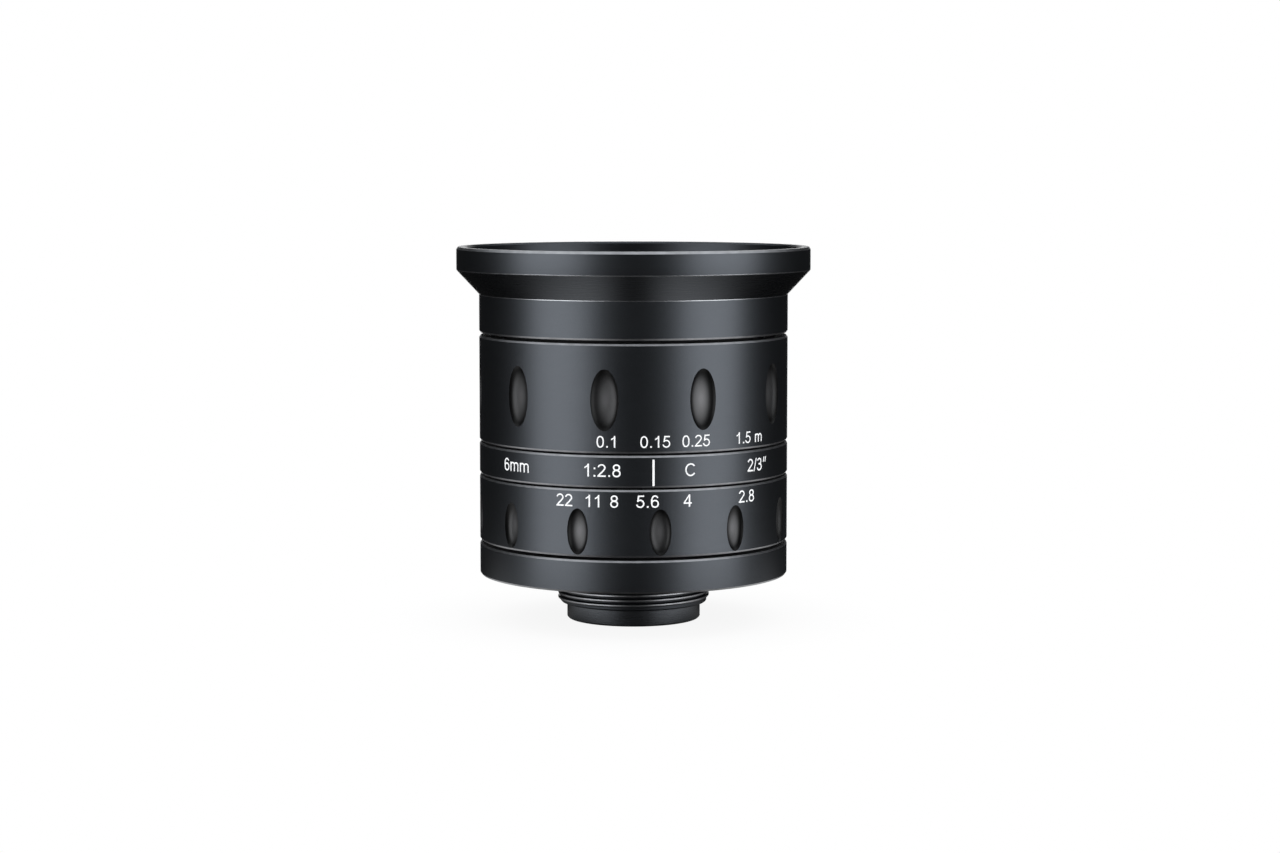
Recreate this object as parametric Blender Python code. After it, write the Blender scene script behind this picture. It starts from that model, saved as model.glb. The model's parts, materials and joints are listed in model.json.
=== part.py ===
"""A C-mount lens of fixed focal length, standing on the end of its mount.

Metres, +Z up along the optical axis towards the front, origin at the centre of the mount's end.
The scales face -Y. An angle on the outside is measured from -Y towards +X, in degrees.
"""

import math

import bmesh
import bpy
from mathutils import Matrix, Vector

MM = 0.001

# Bands along the axis, from the end of the mount to the rim of the hood
PILOT_LENGTH = 3.31 * MM
THREAD_LENGTH = 4.43 * MM
REAR_BAND = 5.3 * MM
REAR_GROOVE = 0.52 * MM
IRIS_BAND = 10.85 * MM
RING_GAP = 0.34 * MM
INDEX_BAND = 5.13 * MM
FOCUS_BAND = 17.4 * MM
FRONT_GROOVE = 0.55 * MM
HOOD_TUBE = 6.3 * MM
HOOD_CONE = 4.04 * MM
HOOD_RIM = 3.81 * MM

# Outer radii
BARREL_RADIUS = 25.75 * MM
HOOD_FLARE = 3.75 * MM
THREAD_RADIUS = 12.7 * MM
THREAD_PITCH = 0.794 * MM
THREAD_DEPTH = 0.43 * MM
PILOT_RADIUS = 11.17 * MM
EDGE = 0.25 * MM

# Fits between pieces
RUNNING_GAP = 0.2 * MM
SEAT_GAP = 0.05 * MM
CEMENT_GAP = 0.03 * MM

# Fixed sleeve and what rides on it
RING_WALL = 2.35 * MM
SLEEVE_WALL = 1.5 * MM
SLEEVE_STEP = 0.6 * MM
SPIGOT_WALL = 2.0 * MM
SPIGOT_HEIGHT = 3.9 * MM
FOCUS_SLEEVE_LENGTH = 7.0 * MM
FOCUS_LAND = 6.9 * MM
FOCUS_UNDERCUT = 0.6 * MM
KEEPER_HEIGHT = 1.2 * MM
NUT_TOP_INSET = 0.4 * MM

# Oval finger dimples
FOCUS_DIMPLES = 10
FOCUS_DIMPLE_WIDTH = 4.68 * MM
FOCUS_DIMPLE_HEIGHT = 9.85 * MM
FOCUS_DIMPLE_BASE = 3.55 * MM
FOCUS_DIMPLE_ANGLE = -10.4
IRIS_DIMPLES = 12
IRIS_DIMPLE_WIDTH = 3.6 * MM
IRIS_DIMPLE_HEIGHT = 7.45 * MM
IRIS_DIMPLE_BASE = 0.3 * MM
IRIS_DIMPLE_ANGLE = 9.62
DIMPLE_DEPTH = 0.95 * MM
DIMPLE_LIFT = 0.5 * MM

# Hood
RIM_WALL = 1.5 * MM
HOOD_RIM_DEPTH = 2.8 * MM
BAFFLE_STEP = 2.05 * MM
BAFFLE_PITCH = 2.2 * MM
BAFFLE_COUNT = 2
BAFFLE_DRAFT = 0.1 * MM

# Front cell: bores step down towards the rear, one seat for each glass
CELL_WALL = 1.9 * MM
CELL_RIM_WALL = 1.25 * MM
CELL_SKIRT = 16.8 * MM
CELL_FRONT = 5.2 * MM
SEAT_1 = 1.4 * MM
SEAT_2 = 7.5 * MM
SEAT_3 = 6.8 * MM
SEAT_4 = 6.7 * MM
CELL_WEB = 2.2 * MM
NOSE_LENGTH = 1.6 * MM
NOSE_OPENING = 7.0 * MM
GLASS_FIT = 0.15 * MM

# Glass: radius, edge, front curve, rear curve, width of the flat rear rim (0 for none).
# The first glass fills the cell, so its radius comes from the barrel's, and its rim ends at the opening.
GLASS_1_FORM = (3.8 * MM, 48.0 * MM, 20.0 * MM)
GLASS_1_OPENING = 13.5 * MM
GLASS_2 = (14.4 * MM, 2.8 * MM, 32.0 * MM, 11.0 * MM, 5.7 * MM)
GLASS_3 = (10.1 * MM, 2.6 * MM, 25.0 * MM, -40.0 * MM, 1.9 * MM)
GLASS_4 = (8.0 * MM, 2.4 * MM, 18.0 * MM, 22.0 * MM, 1.2 * MM)
GLASS_5_RADIUS = 7.9 * MM
GLASS_5_EDGE = 0.5 * MM
GLASS_5_CURVE = 20.0 * MM
CEMENT_CURVE = 18.0 * MM
GLASS_6_EDGE = 2.8 * MM
GLASS_6_CURVE = 60.0 * MM
GLASS_7 = (9.4 * MM, 1.8 * MM, 45.0 * MM, -30.0 * MM, 0.0)
GLASS_8 = (9.4 * MM, 2.2 * MM, 60.0 * MM, 25.0 * MM, 1.8 * MM)
KEEPER_WIDTH = 1.5 * MM
SPANNER_SLOT = 1.2 * MM

# Rear cell and mount bush
BUSH_FLOOR = 2.2 * MM
BUSH_COLLAR_STEP = 2.1 * MM
BUSH_COLLAR = 2.4 * MM
REAR_SHOULDER = 1.15 * MM
REAR_TUBE_RADIUS = 10.4 * MM
REAR_LIP_TOP = 11.8 * MM
REAR_LIP = 1.6 * MM
REAR_LIP_OPENING = 7.2 * MM
REAR_END_INSET = 1.5 * MM

# Iris: scale angles from full opening to the smallest stop, and the blades
INDEX_ANGLE = 7.09
F2_8_ANGLE = 44.97
F22_ANGLE = -25.3
STOP_OPEN = 3.4 * MM
STOP_SMALL = STOP_OPEN * 2.8 / 22
BLADES = 6
BLADE_PIVOT_RADIUS = 9.2 * MM
BLADE_DRIVE_RADIUS = 9.5 * MM
BLADE_DRIVE_ANGLE = 40.0
BLADE_WIDTH = 3.9 * MM
BLADE_START = -4.0
BLADE_END = 116.0
TAB_MARGIN = 0.75 * MM
TAB_MARGIN_ANGLE = 5.5
TAB_NECK_ANGLE = 9.0
BLADE_THICKNESS = 0.15 * MM
BLADE_GAP = 0.12 * MM
PIN_RADIUS = 0.35 * MM
PIN_PLAY = 0.12 * MM
PLATE_THICKNESS = 1.2 * MM
CAM_THICKNESS = 1.3 * MM
CAM_WIDTH = 3.6 * MM
CAM_RIB = 0.8 * MM
COVER_THICKNESS = 0.8 * MM
COVER_OPENING = 8.0 * MM
PLATE_LEDGE = 0.1 * MM
ARM_WIDTH = 4.6 * MM
ARM_MARGIN = 2.5 * MM
ARM_INSET = 0.065 * MM
FORK_DEPTH = 3.6 * MM
CAM_SLOT_MARGIN_ANGLE = 1.0
PIVOT_SINK = 0.8 * MM
DRIVE_PIN_REACH = 1.04 * MM
SLOT_MARGIN_ANGLE = 4.0
ARM_MARGIN_ANGLE = 13.0

# Focus ring: turn to the far stop and to the near stop
FOCUS_FAR_TURN = 38.0
FOCUS_NEAR_TURN = 17.0

# Small screws, all on the back
BACK_ANGLE = 180.0
SCREW_PIN_RADIUS = 0.8 * MM
SCREW_HEAD_RADIUS = 1.35 * MM
SCREW_HEAD = 1.0 * MM
SCREW_RECESS = 0.35 * MM
SCREW_DRIVE_WIDTH = 0.4 * MM
SCREW_DRIVE_DEPTH = 0.45 * MM
STOP_SCREW_HEIGHT = 2.2 * MM
KEY_ANGLE = 90.0
KEY_WIDTH = 3.0 * MM
KEY_DEPTH = 1.4 * MM
KEY_HEIGHT = 4.0 * MM
KEY_INSET = 1.0 * MM

# Facets
OUTER_SEGMENTS = 44
FACETS_PER_FOCUS_DIMPLE = 5
FACETS_PER_IRIS_DIMPLE = 4
SLEEVE_SEGMENTS = 32
CELL_SEGMENTS = 30
INNER_SEGMENTS = 24
GLASS_SEGMENTS = 18
PIN_SEGMENTS = 8
DIMPLE_SEGMENTS = 12
DIMPLE_RINGS = 6
SHARP_ANGLE = math.radians(30)
BLADE_STEPS = 9
TAB_STEPS = 4
CAM_SLOT_STEPS = 8
SECTOR_STEP_ANGLE = 6.0

# Levels along the axis
FLANGE_Z = PILOT_LENGTH + THREAD_LENGTH
REAR_TOP_Z = FLANGE_Z + REAR_BAND
IRIS_Z = REAR_TOP_Z + REAR_GROOVE
INDEX_Z = IRIS_Z + IRIS_BAND + RING_GAP
FOCUS_Z = INDEX_Z + INDEX_BAND + RING_GAP
HOOD_Z = FOCUS_Z + FOCUS_BAND + FRONT_GROOVE
CONE_Z = HOOD_Z + HOOD_TUBE
RIM_Z = CONE_Z + HOOD_CONE
TOP_Z = RIM_Z + HOOD_RIM

# Radii that follow the barrel, from the rings inwards
HOOD_RADIUS = BARREL_RADIUS + HOOD_FLARE
RING_INNER = BARREL_RADIUS - RING_WALL
SLEEVE_OUTER = RING_INNER - RUNNING_GAP
SLEEVE_INNER = SLEEVE_OUTER - SLEEVE_WALL
BUSH_COLLAR_RADIUS = THREAD_RADIUS + BUSH_COLLAR_STEP
ARM_REACH = SLEEVE_INNER - ARM_MARGIN
PLATE_OPENING = STOP_OPEN + PLATE_LEDGE
CELL_RADIUS = SLEEVE_INNER - RUNNING_GAP
SLEEVE_TOP_Z = FOCUS_Z + FOCUS_SLEEVE_LENGTH + KEEPER_HEIGHT
LAND_TOP_Z = FOCUS_Z + FOCUS_LAND
KEEPER_Z = LAND_TOP_Z + RUNNING_GAP
GLASS_1_RADIUS = CELL_RADIUS - CELL_RIM_WALL - GLASS_FIT
GLASS_1 = (GLASS_1_RADIUS, *GLASS_1_FORM, GLASS_1_RADIUS - GLASS_1_OPENING)
UNDERCUT_RADIUS = RING_INNER + FOCUS_UNDERCUT
NUT_RADIUS = UNDERCUT_RADIUS - RUNNING_GAP

KEY_OUTER = math.sqrt(SLEEVE_INNER**2 - (KEY_WIDTH / 2) ** 2) - 2 * SEAT_GAP

SEAT_1_Z = HOOD_Z - SEAT_1
SEAT_2_Z = SEAT_1_Z - SEAT_2
SEAT_3_Z = SEAT_2_Z - SEAT_3
SEAT_4_Z = SEAT_3_Z - SEAT_4
CELL_TOP_Z = HOOD_Z + CELL_FRONT

PLATE_Z = REAR_TOP_Z + SPIGOT_HEIGHT + SEAT_GAP
BLADE_Z = PLATE_Z + PLATE_THICKNESS + BLADE_GAP
BLADE_PITCH = BLADE_THICKNESS + BLADE_GAP
CAM_Z = BLADE_Z + BLADES * BLADE_PITCH
COVER_Z = CAM_Z + CAM_THICKNESS + 2 * BLADE_GAP
DRIVE_Z = CAM_Z + CAM_THICKNESS / 2

# Turns of the iris ring, in degrees, and how far a blade swings for them
IRIS_OPEN_TURN = F2_8_ANGLE - INDEX_ANGLE
IRIS_CLOSE_TURN = INDEX_ANGLE - F22_ANGLE
IRIS_SPAN = IRIS_OPEN_TURN + IRIS_CLOSE_TURN
BLADE_SWING = math.degrees(2 * math.asin((STOP_OPEN - STOP_SMALL) / (2 * BLADE_PIVOT_RADIUS)))
BLADE_RATIO = BLADE_SWING / IRIS_SPAN

BLACK_METAL = ("black_anodised", (0.045, 0.047, 0.05), 0.42, 0.6)
MATT_BLACK = ("matt_black", (0.012, 0.012, 0.013), 0.75, 0.2)
GLASS = ("coated_glass", (0.10, 0.16, 0.17), 0.05, 0.0)
BLADE_STEEL = ("blackened_steel", (0.03, 0.03, 0.032), 0.45, 0.8)
SCREW_STEEL = ("screw_steel", (0.09, 0.09, 0.095), 0.35, 0.9)
BRASS = ("brass", (0.62, 0.47, 0.22), 0.35, 1.0)


def polar(radius, degrees):
    angle = math.radians(degrees)
    return Vector((radius * math.cos(angle), radius * math.sin(angle)))


def turned_about(point, degrees, centre):
    return centre + Matrix.Rotation(math.radians(degrees), 2) @ (point - centre)


def get_material(finish):
    name, colour, roughness, metallic = finish
    if name in bpy.data.materials:
        return bpy.data.materials[name]
    made = bpy.data.materials.new(name)
    made.use_nodes = True
    shader = made.node_tree.nodes["Principled BSDF"]
    shader.inputs["Base Color"].default_value = (*colour, 1)
    shader.inputs["Roughness"].default_value = roughness
    shader.inputs["Metallic"].default_value = metallic
    made.diffuse_color = (*colour, 1)
    return made


def add_empty(name, parent=None):
    empty = bpy.data.objects.new(name, None)
    empty.empty_display_size = BARREL_RADIUS
    empty.parent = parent
    bpy.context.collection.objects.link(empty)
    return empty


def add_object(name, mesh_data, finish, parent=None, location=(0, 0, 0), turn=0):
    bmesh.ops.recalc_face_normals(mesh_data, faces=mesh_data.faces)
    mesh = bpy.data.meshes.new(name)
    mesh_data.to_mesh(mesh)
    mesh_data.free()
    mesh.shade_smooth()
    mesh.set_sharp_from_angle(angle=SHARP_ANGLE)
    made = bpy.data.objects.new(name, mesh)
    made.location = location
    made.rotation_euler.z = math.radians(turn)
    if finish:
        mesh.materials.append(get_material(finish))
    made.parent = parent
    bpy.context.collection.objects.link(made)
    return made


def combine(target, operation, name, mesh_data):
    """Cuts a shape from the target, or joins it on, with a guide object in the target's frame."""
    guide = add_object(name, mesh_data, None, target)
    guide.hide_render = True
    guide.display_type = "WIRE"
    modifier = target.modifiers.new(name, "BOOLEAN")
    modifier.operation = operation
    modifier.object = guide
    modifier.solver = "EXACT"


def revolve(profile, segments, start=0.0, base=0.0):
    """A turned solid. The outline is a closed loop of (radius, z), or runs from axis to axis."""
    mesh_data = bmesh.new()
    on_axis = profile[0][0] == 0
    rings = []
    for radius, z in profile:
        if radius == 0:
            rings.append([mesh_data.verts.new((0, 0, z - base))] * segments)
            continue
        ring = []
        for step in range(segments):
            x, y = polar(radius, start + 360 * step / segments)
            ring.append(mesh_data.verts.new((x, y, z - base)))
        rings.append(ring)
    pairs = list(zip(rings, rings[1:]))
    if not on_axis:
        pairs.append((rings[-1], rings[0]))
    for lower, upper in pairs:
        for step in range(segments):
            after = (step + 1) % segments
            corners = (lower[step], lower[after], upper[after], upper[step])
            mesh_data.faces.new(list(dict.fromkeys(corners)))
    return mesh_data


def turned_part(name, profile, finish, parent, segments=OUTER_SEGMENTS, start=0.0):
    """A turned piece on the optical axis, with its origin on the axis at its lower end."""
    base = min(z for _, z in profile)
    mesh_data = revolve(profile, segments, start, base)
    return add_object(name, mesh_data, finish, parent, (0, 0, base))


def prism(outline, bottom, top):
    mesh_data = bmesh.new()
    lower = [mesh_data.verts.new((*point, bottom)) for point in outline]
    face = mesh_data.faces.new(lower)
    moved = bmesh.ops.extrude_face_region(mesh_data, geom=[face])["geom"]
    raised = [item for item in moved if isinstance(item, bmesh.types.BMVert)]
    bmesh.ops.translate(mesh_data, verts=raised, vec=(0, 0, top - bottom))
    return mesh_data


def merged(shapes):
    """One mesh that holds several separate shapes, for a guide."""
    whole = bmesh.new()
    for shape in shapes:
        mesh = bpy.data.meshes.new("guide_part")
        shape.to_mesh(mesh)
        shape.free()
        whole.from_mesh(mesh)
        bpy.data.meshes.remove(mesh)
    return whole


def sector(inner, outer, first, last, bottom, top):
    """A block between two radii and two angles of the plane."""
    count = max(2, math.ceil((last - first) / SECTOR_STEP_ANGLE))
    angles = [first + (last - first) * number / count for number in range(count + 1)]
    outline = [polar(outer, angle) for angle in angles]
    outline += [polar(inner, angle) for angle in reversed(angles)]
    return prism(outline, bottom, top)


def radial_rod(profile, degrees, z, segments=PIN_SEGMENTS):
    """A turned shape whose axis points out from the optical axis, (radius, distance out)."""
    mesh_data = revolve(profile, segments)
    aim = Matrix.Rotation(math.radians(degrees - 90), 4, "Z") @ Matrix.Rotation(math.pi / 2, 4, "Y")
    bmesh.ops.transform(mesh_data, matrix=Matrix.Translation((0, 0, z)) @ aim, verts=mesh_data.verts)
    return mesh_data


def radial_box(degrees, inner, outer, width, bottom, top):
    side = width / 2
    corners = [(inner, -side), (outer, -side), (outer, side), (inner, side)]
    spin = Matrix.Rotation(math.radians(degrees - 90), 2)
    return prism([spin @ Vector(corner) for corner in corners], bottom, top)


def band(inner, outer, bottom, top, edge=EDGE):
    """The outline of a plain ring whose outer edges are bevelled."""
    return [
        (inner, bottom),
        (outer - edge, bottom),
        (outer, bottom + edge),
        (outer, top - edge),
        (outer - edge, top),
        (inner, top),
    ]


def plain_ring(inner, outer, bottom, top):
    return [(inner, bottom), (outer, bottom), (outer, top), (inner, top)]


def dimples(count, first_angle, width, height, middle, radius):
    """Ellipsoids round the barrel. Each cuts an oval with its deepest point in the middle."""
    reach = DIMPLE_DEPTH + DIMPLE_LIFT
    spread = math.sqrt(1 - (DIMPLE_LIFT / reach) ** 2)
    shapes = []
    for number in range(count):
        shape = bmesh.new()
        bmesh.ops.create_uvsphere(
            shape, u_segments=DIMPLE_SEGMENTS, v_segments=DIMPLE_RINGS, radius=1
        )
        size = Matrix.Diagonal((height / 2 / spread, width / 2 / spread, reach, 1))
        aim = Matrix.Rotation(math.pi / 2, 4, "Y")
        away = Matrix.Translation((radius + DIMPLE_LIFT, 0, middle))
        around = Matrix.Rotation(math.radians(first_angle + 360 * number / count - 90), 4, "Z")
        bmesh.ops.transform(shape, matrix=around @ away @ aim @ size, verts=shape.verts)
        shapes.append(shape)
    return merged(shapes)


def bore_over(radius, segments=OUTER_SEGMENTS):
    """The corner radius of a bore whose flats just clear a round piece."""
    return radius / math.cos(math.pi / segments)


def surface(rim_radius, rim_z, curve, steps=2):
    """Points from the rim of a spherical surface to the axis. A positive curve bulges upwards."""
    size = abs(curve)
    widest = math.asin(rim_radius / size)
    points = []
    for step in range(steps + 1):
        angle = widest * (1 - step / steps)
        rise = size * (math.cos(angle) - math.cos(widest))
        points.append((size * math.sin(angle) if step < steps else 0, rim_z + math.copysign(rise, curve)))
    return points


def rim_rise(curve, inner, outer):
    """How far a spherical surface rises from one radius to a smaller one."""
    return math.sqrt(curve**2 - inner**2) - math.sqrt(curve**2 - outer**2)


def glass(name, form, seat_z, parent, segments=GLASS_SEGMENTS, steps=2):
    """A glass with its rear rim at seat_z."""
    radius, edge, front_curve, rear_curve, rim = form
    front = surface(radius, seat_z + edge, front_curve, steps)
    rear = surface(radius - rim, seat_z, rear_curve, steps)
    outline = list(reversed(rear))
    if rim:
        outline.append((radius, seat_z))
    outline += front
    return turned_part(name, outline, GLASS, parent, segments)


def spanner_slots(target, radius, depth, top):
    """Two slots across a keeper ring, for the tool that screws it in."""
    slots = radial_box(KEY_ANGLE, -2 * radius, 2 * radius, SPANNER_SLOT, -depth, depth)
    bmesh.ops.translate(slots, verts=slots.verts, vec=(0, 0, top))
    combine(target, "DIFFERENCE", target.name + "_slots", slots)


def headed_screw(name, tip, face, z, parent):
    """A slotted screw on the back, from its tip to its head's face."""
    profile = [
        (0, tip),
        (SCREW_PIN_RADIUS, tip),
        (SCREW_PIN_RADIUS, face - SCREW_HEAD),
        (SCREW_HEAD_RADIUS, face - SCREW_HEAD),
        (SCREW_HEAD_RADIUS, face),
        (0, face),
    ]
    made = add_object(name, radial_rod(profile, BACK_ANGLE, z), SCREW_STEEL, parent)
    half = SCREW_DRIVE_WIDTH / 2
    inner = face - SCREW_DRIVE_DEPTH
    outer = face + SCREW_DRIVE_DEPTH
    wide = 3 * SCREW_HEAD_RADIUS
    slot = radial_box(BACK_ANGLE, inner, outer, wide, z - half, z + half)
    combine(made, "DIFFERENCE", name + "_slot", slot)
    return made


def screw_hole(target, name, face, z):
    """The stepped hole for a headed screw, in the frame of a turned piece."""
    local = z - target.location.z
    play = RUNNING_GAP / 2
    shoulder = face - SCREW_HEAD - play
    profile = [
        (0, 0),
        (SCREW_PIN_RADIUS + play, 0),
        (SCREW_PIN_RADIUS + play, shoulder),
        (SCREW_HEAD_RADIUS + play, shoulder),
        (SCREW_HEAD_RADIUS + play, 2 * BARREL_RADIUS),
        (0, 2 * BARREL_RADIUS),
    ]
    combine(target, "DIFFERENCE", name, radial_rod(profile, BACK_ANGLE, local))


def keeper(name, outer, bottom, top, parent, underside=0.0, segments=GLASS_SEGMENTS):
    """A screwed ring with two spanner slots; the underside may follow a glass."""
    inner = outer - KEEPER_WIDTH
    profile = [(inner, bottom + underside), (outer, bottom), (outer, top), (inner, top)]
    made = turned_part(name, profile, MATT_BLACK, parent, segments)
    spanner_slots(made, outer, (top - bottom) / 3, top - bottom)
    return made


def make_mount(parent):
    """Rear band, threaded bush and the cell behind the iris, with its glass."""
    bush_bore = PILOT_RADIUS + RUNNING_GAP
    floor_top = FLANGE_Z + BUSH_FLOOR
    collar_z = floor_top + SEAT_GAP
    collar_top = collar_z + BUSH_COLLAR
    spigot_outer = CELL_RADIUS
    spigot_top = REAR_TOP_Z + SPIGOT_HEIGHT
    housing = [
        (THREAD_RADIUS + RUNNING_GAP, FLANGE_Z),
        (BARREL_RADIUS - EDGE, FLANGE_Z),
        (BARREL_RADIUS, FLANGE_Z + EDGE),
        (BARREL_RADIUS, REAR_TOP_Z - EDGE),
        (BARREL_RADIUS - EDGE, REAR_TOP_Z),
        (spigot_outer, REAR_TOP_Z),
        (spigot_outer, spigot_top),
        (spigot_outer - SPIGOT_WALL, spigot_top),
        (spigot_outer - SPIGOT_WALL, REAR_TOP_Z),
        (BUSH_COLLAR_RADIUS + RUNNING_GAP, REAR_TOP_Z),
        (BUSH_COLLAR_RADIUS + RUNNING_GAP, floor_top),
        (THREAD_RADIUS + RUNNING_GAP, floor_top),
    ]
    turned_part("rear_housing", housing, BLACK_METAL, parent)

    ridges = math.floor(THREAD_LENGTH / THREAD_PITCH)
    root = THREAD_RADIUS - THREAD_DEPTH
    bush = [(bush_bore, PILOT_LENGTH), (root, PILOT_LENGTH)]
    for ridge in range(ridges):
        start = PILOT_LENGTH + ridge * THREAD_PITCH
        bush.append((THREAD_RADIUS, start + THREAD_PITCH * 0.5))
        bush.append((root, start + THREAD_PITCH))
    bush += [
        (THREAD_RADIUS, FLANGE_Z),
        (THREAD_RADIUS, collar_z),
        (BUSH_COLLAR_RADIUS, collar_z),
        (BUSH_COLLAR_RADIUS, collar_top),
        (bush_bore, collar_top),
    ]
    turned_part("mount_thread_bush", bush, BLACK_METAL, parent, INNER_SEGMENTS)

    shoulder_z = collar_top + SEAT_GAP
    cell_top = PLATE_Z - SEAT_GAP
    doublet_bore = GLASS_5_RADIUS + GLASS_FIT
    rear_bore = GLASS_7[0] + GLASS_FIT
    lip_z = REAR_LIP_TOP - REAR_LIP
    shoulder_radius = BUSH_COLLAR_RADIUS - RUNNING_GAP
    cell = [
        (rear_bore, 0),
        (PILOT_RADIUS - EDGE, 0),
        (PILOT_RADIUS, EDGE),
        (PILOT_RADIUS, shoulder_z),
        (shoulder_radius, shoulder_z),
        (shoulder_radius, shoulder_z + REAR_SHOULDER),
        (REAR_TUBE_RADIUS, shoulder_z + REAR_SHOULDER),
        (REAR_TUBE_RADIUS, cell_top),
        (doublet_bore, cell_top),
        (doublet_bore, REAR_LIP_TOP),
        (REAR_LIP_OPENING, REAR_LIP_TOP),
        (REAR_LIP_OPENING, lip_z),
        (rear_bore, lip_z),
    ]
    turned_part("rear_cell", cell, BLACK_METAL, parent, INNER_SEGMENTS)

    make_rear_glass(parent, lip_z, cell_top)


def make_rear_glass(parent, lip_z, cell_top):
    flint_z = REAR_LIP_TOP + SEAT_GAP
    cement_z = flint_z + GLASS_6_EDGE
    cement = surface(GLASS_5_RADIUS, cement_z, -CEMENT_CURVE)
    rear = surface(REAR_LIP_OPENING, flint_z, -GLASS_6_CURVE)
    flint = list(reversed(rear)) + [(GLASS_5_RADIUS, flint_z)] + cement
    turned_part("doublet_rear_glass", flint, GLASS, parent, GLASS_SEGMENTS)
    crown_base = surface(GLASS_5_RADIUS, cement_z + CEMENT_GAP, -CEMENT_CURVE)
    crown_top = surface(GLASS_5_RADIUS, cement_z + CEMENT_GAP + GLASS_5_EDGE, GLASS_5_CURVE)
    crown = list(reversed(crown_base)) + crown_top
    turned_part("doublet_front_glass", crown, GLASS, parent, GLASS_SEGMENTS)
    doublet_top = cement_z + CEMENT_GAP + GLASS_5_EDGE
    keeper(
        "doublet_keeper_ring",
        GLASS_5_RADIUS,
        doublet_top + SEAT_GAP,
        cell_top,
        parent,
        rim_rise(GLASS_5_CURVE, GLASS_5_RADIUS - KEEPER_WIDTH, GLASS_5_RADIUS),
    )

    bulge = rim_rise(GLASS_7[2], REAR_LIP_OPENING, GLASS_7[0])
    glass_7_z = lip_z - SEAT_GAP - bulge - GLASS_7[1]
    glass("rear_inner_glass", GLASS_7, glass_7_z, parent)
    glass_8_z = REAR_END_INSET + KEEPER_WIDTH + SEAT_GAP
    glass("rear_outer_glass", GLASS_8, glass_8_z, parent)
    outer = GLASS_7[0]
    inner = outer - KEEPER_WIDTH
    bottom = glass_8_z + GLASS_8[1] + SEAT_GAP
    top = glass_7_z - SEAT_GAP
    spacer = [
        (inner, bottom + rim_rise(GLASS_8[2], inner, outer)),
        (outer, bottom),
        (outer, top),
        (inner, top - rim_rise(GLASS_7[3], inner, outer)),
    ]
    turned_part("rear_spacer", spacer, MATT_BLACK, parent, GLASS_SEGMENTS)
    keeper("rear_keeper_ring", GLASS_8[0], REAR_END_INSET, glass_8_z - SEAT_GAP, parent)


def make_sleeve(parent):
    """The fixed sleeve that carries the three rings, and the index ring on it."""
    sleeve_z = REAR_TOP_Z + SEAT_GAP
    step_radius = SLEEVE_OUTER - SLEEVE_STEP
    profile = [
        (SLEEVE_INNER, sleeve_z),
        (SLEEVE_OUTER, sleeve_z),
        (SLEEVE_OUTER, KEEPER_Z - SEAT_GAP),
        (step_radius, KEEPER_Z - SEAT_GAP),
        (step_radius, SLEEVE_TOP_Z),
        (SLEEVE_INNER, SLEEVE_TOP_Z),
    ]
    sleeve = turned_part("main_sleeve", profile, BLACK_METAL, parent, SLEEVE_SEGMENTS)
    open_end = BACK_ANGLE - 90 - IRIS_OPEN_TURN - SLOT_MARGIN_ANGLE
    closed_end = BACK_ANGLE - 90 + IRIS_CLOSE_TURN + SLOT_MARGIN_ANGLE
    half = SCREW_PIN_RADIUS + RUNNING_GAP
    drive_z = DRIVE_Z - sleeve_z
    stop_z = FOCUS_Z + STOP_SCREW_HEIGHT - sleeve_z
    inner = SLEEVE_INNER - SLEEVE_WALL
    outer = SLEEVE_OUTER + SLEEVE_WALL
    iris_slot = sector(inner, outer, open_end, closed_end, drive_z - half, drive_z + half)
    combine(sleeve, "DIFFERENCE", "iris_slot", iris_slot)
    far_end = BACK_ANGLE - 90 - FOCUS_FAR_TURN - SLOT_MARGIN_ANGLE
    near_end = BACK_ANGLE - 90 + FOCUS_NEAR_TURN + SLOT_MARGIN_ANGLE
    focus_slot = sector(inner, outer, far_end, near_end, stop_z - half, stop_z + half)
    combine(sleeve, "DIFFERENCE", "focus_slot", focus_slot)

    keeper_ring = plain_ring(
        step_radius + SEAT_GAP, NUT_RADIUS, KEEPER_Z, KEEPER_Z + KEEPER_HEIGHT - SEAT_GAP
    )
    turned_part("focus_keeper_ring", keeper_ring, BRASS, parent, SLEEVE_SEGMENTS)

    key_top = SLEEVE_TOP_Z - KEY_INSET
    key_inner = KEY_OUTER - KEY_DEPTH
    key = radial_box(KEY_ANGLE, key_inner, KEY_OUTER, KEY_WIDTH, key_top - KEY_HEIGHT, key_top)
    add_object("guide_key", key, BRASS, parent)

    index_bore = bore_over(SLEEVE_OUTER + SEAT_GAP)
    index_profile = band(index_bore, BARREL_RADIUS, INDEX_Z, INDEX_Z + INDEX_BAND)
    index = turned_part("index_ring", index_profile, BLACK_METAL, parent)
    index_middle = INDEX_Z + INDEX_BAND / 2
    face = BARREL_RADIUS - SCREW_RECESS
    screw_hole(index, "index_screw_hole", face, index_middle)
    headed_screw("index_screw", SLEEVE_OUTER + SEAT_GAP, face, index_middle, parent)


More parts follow.
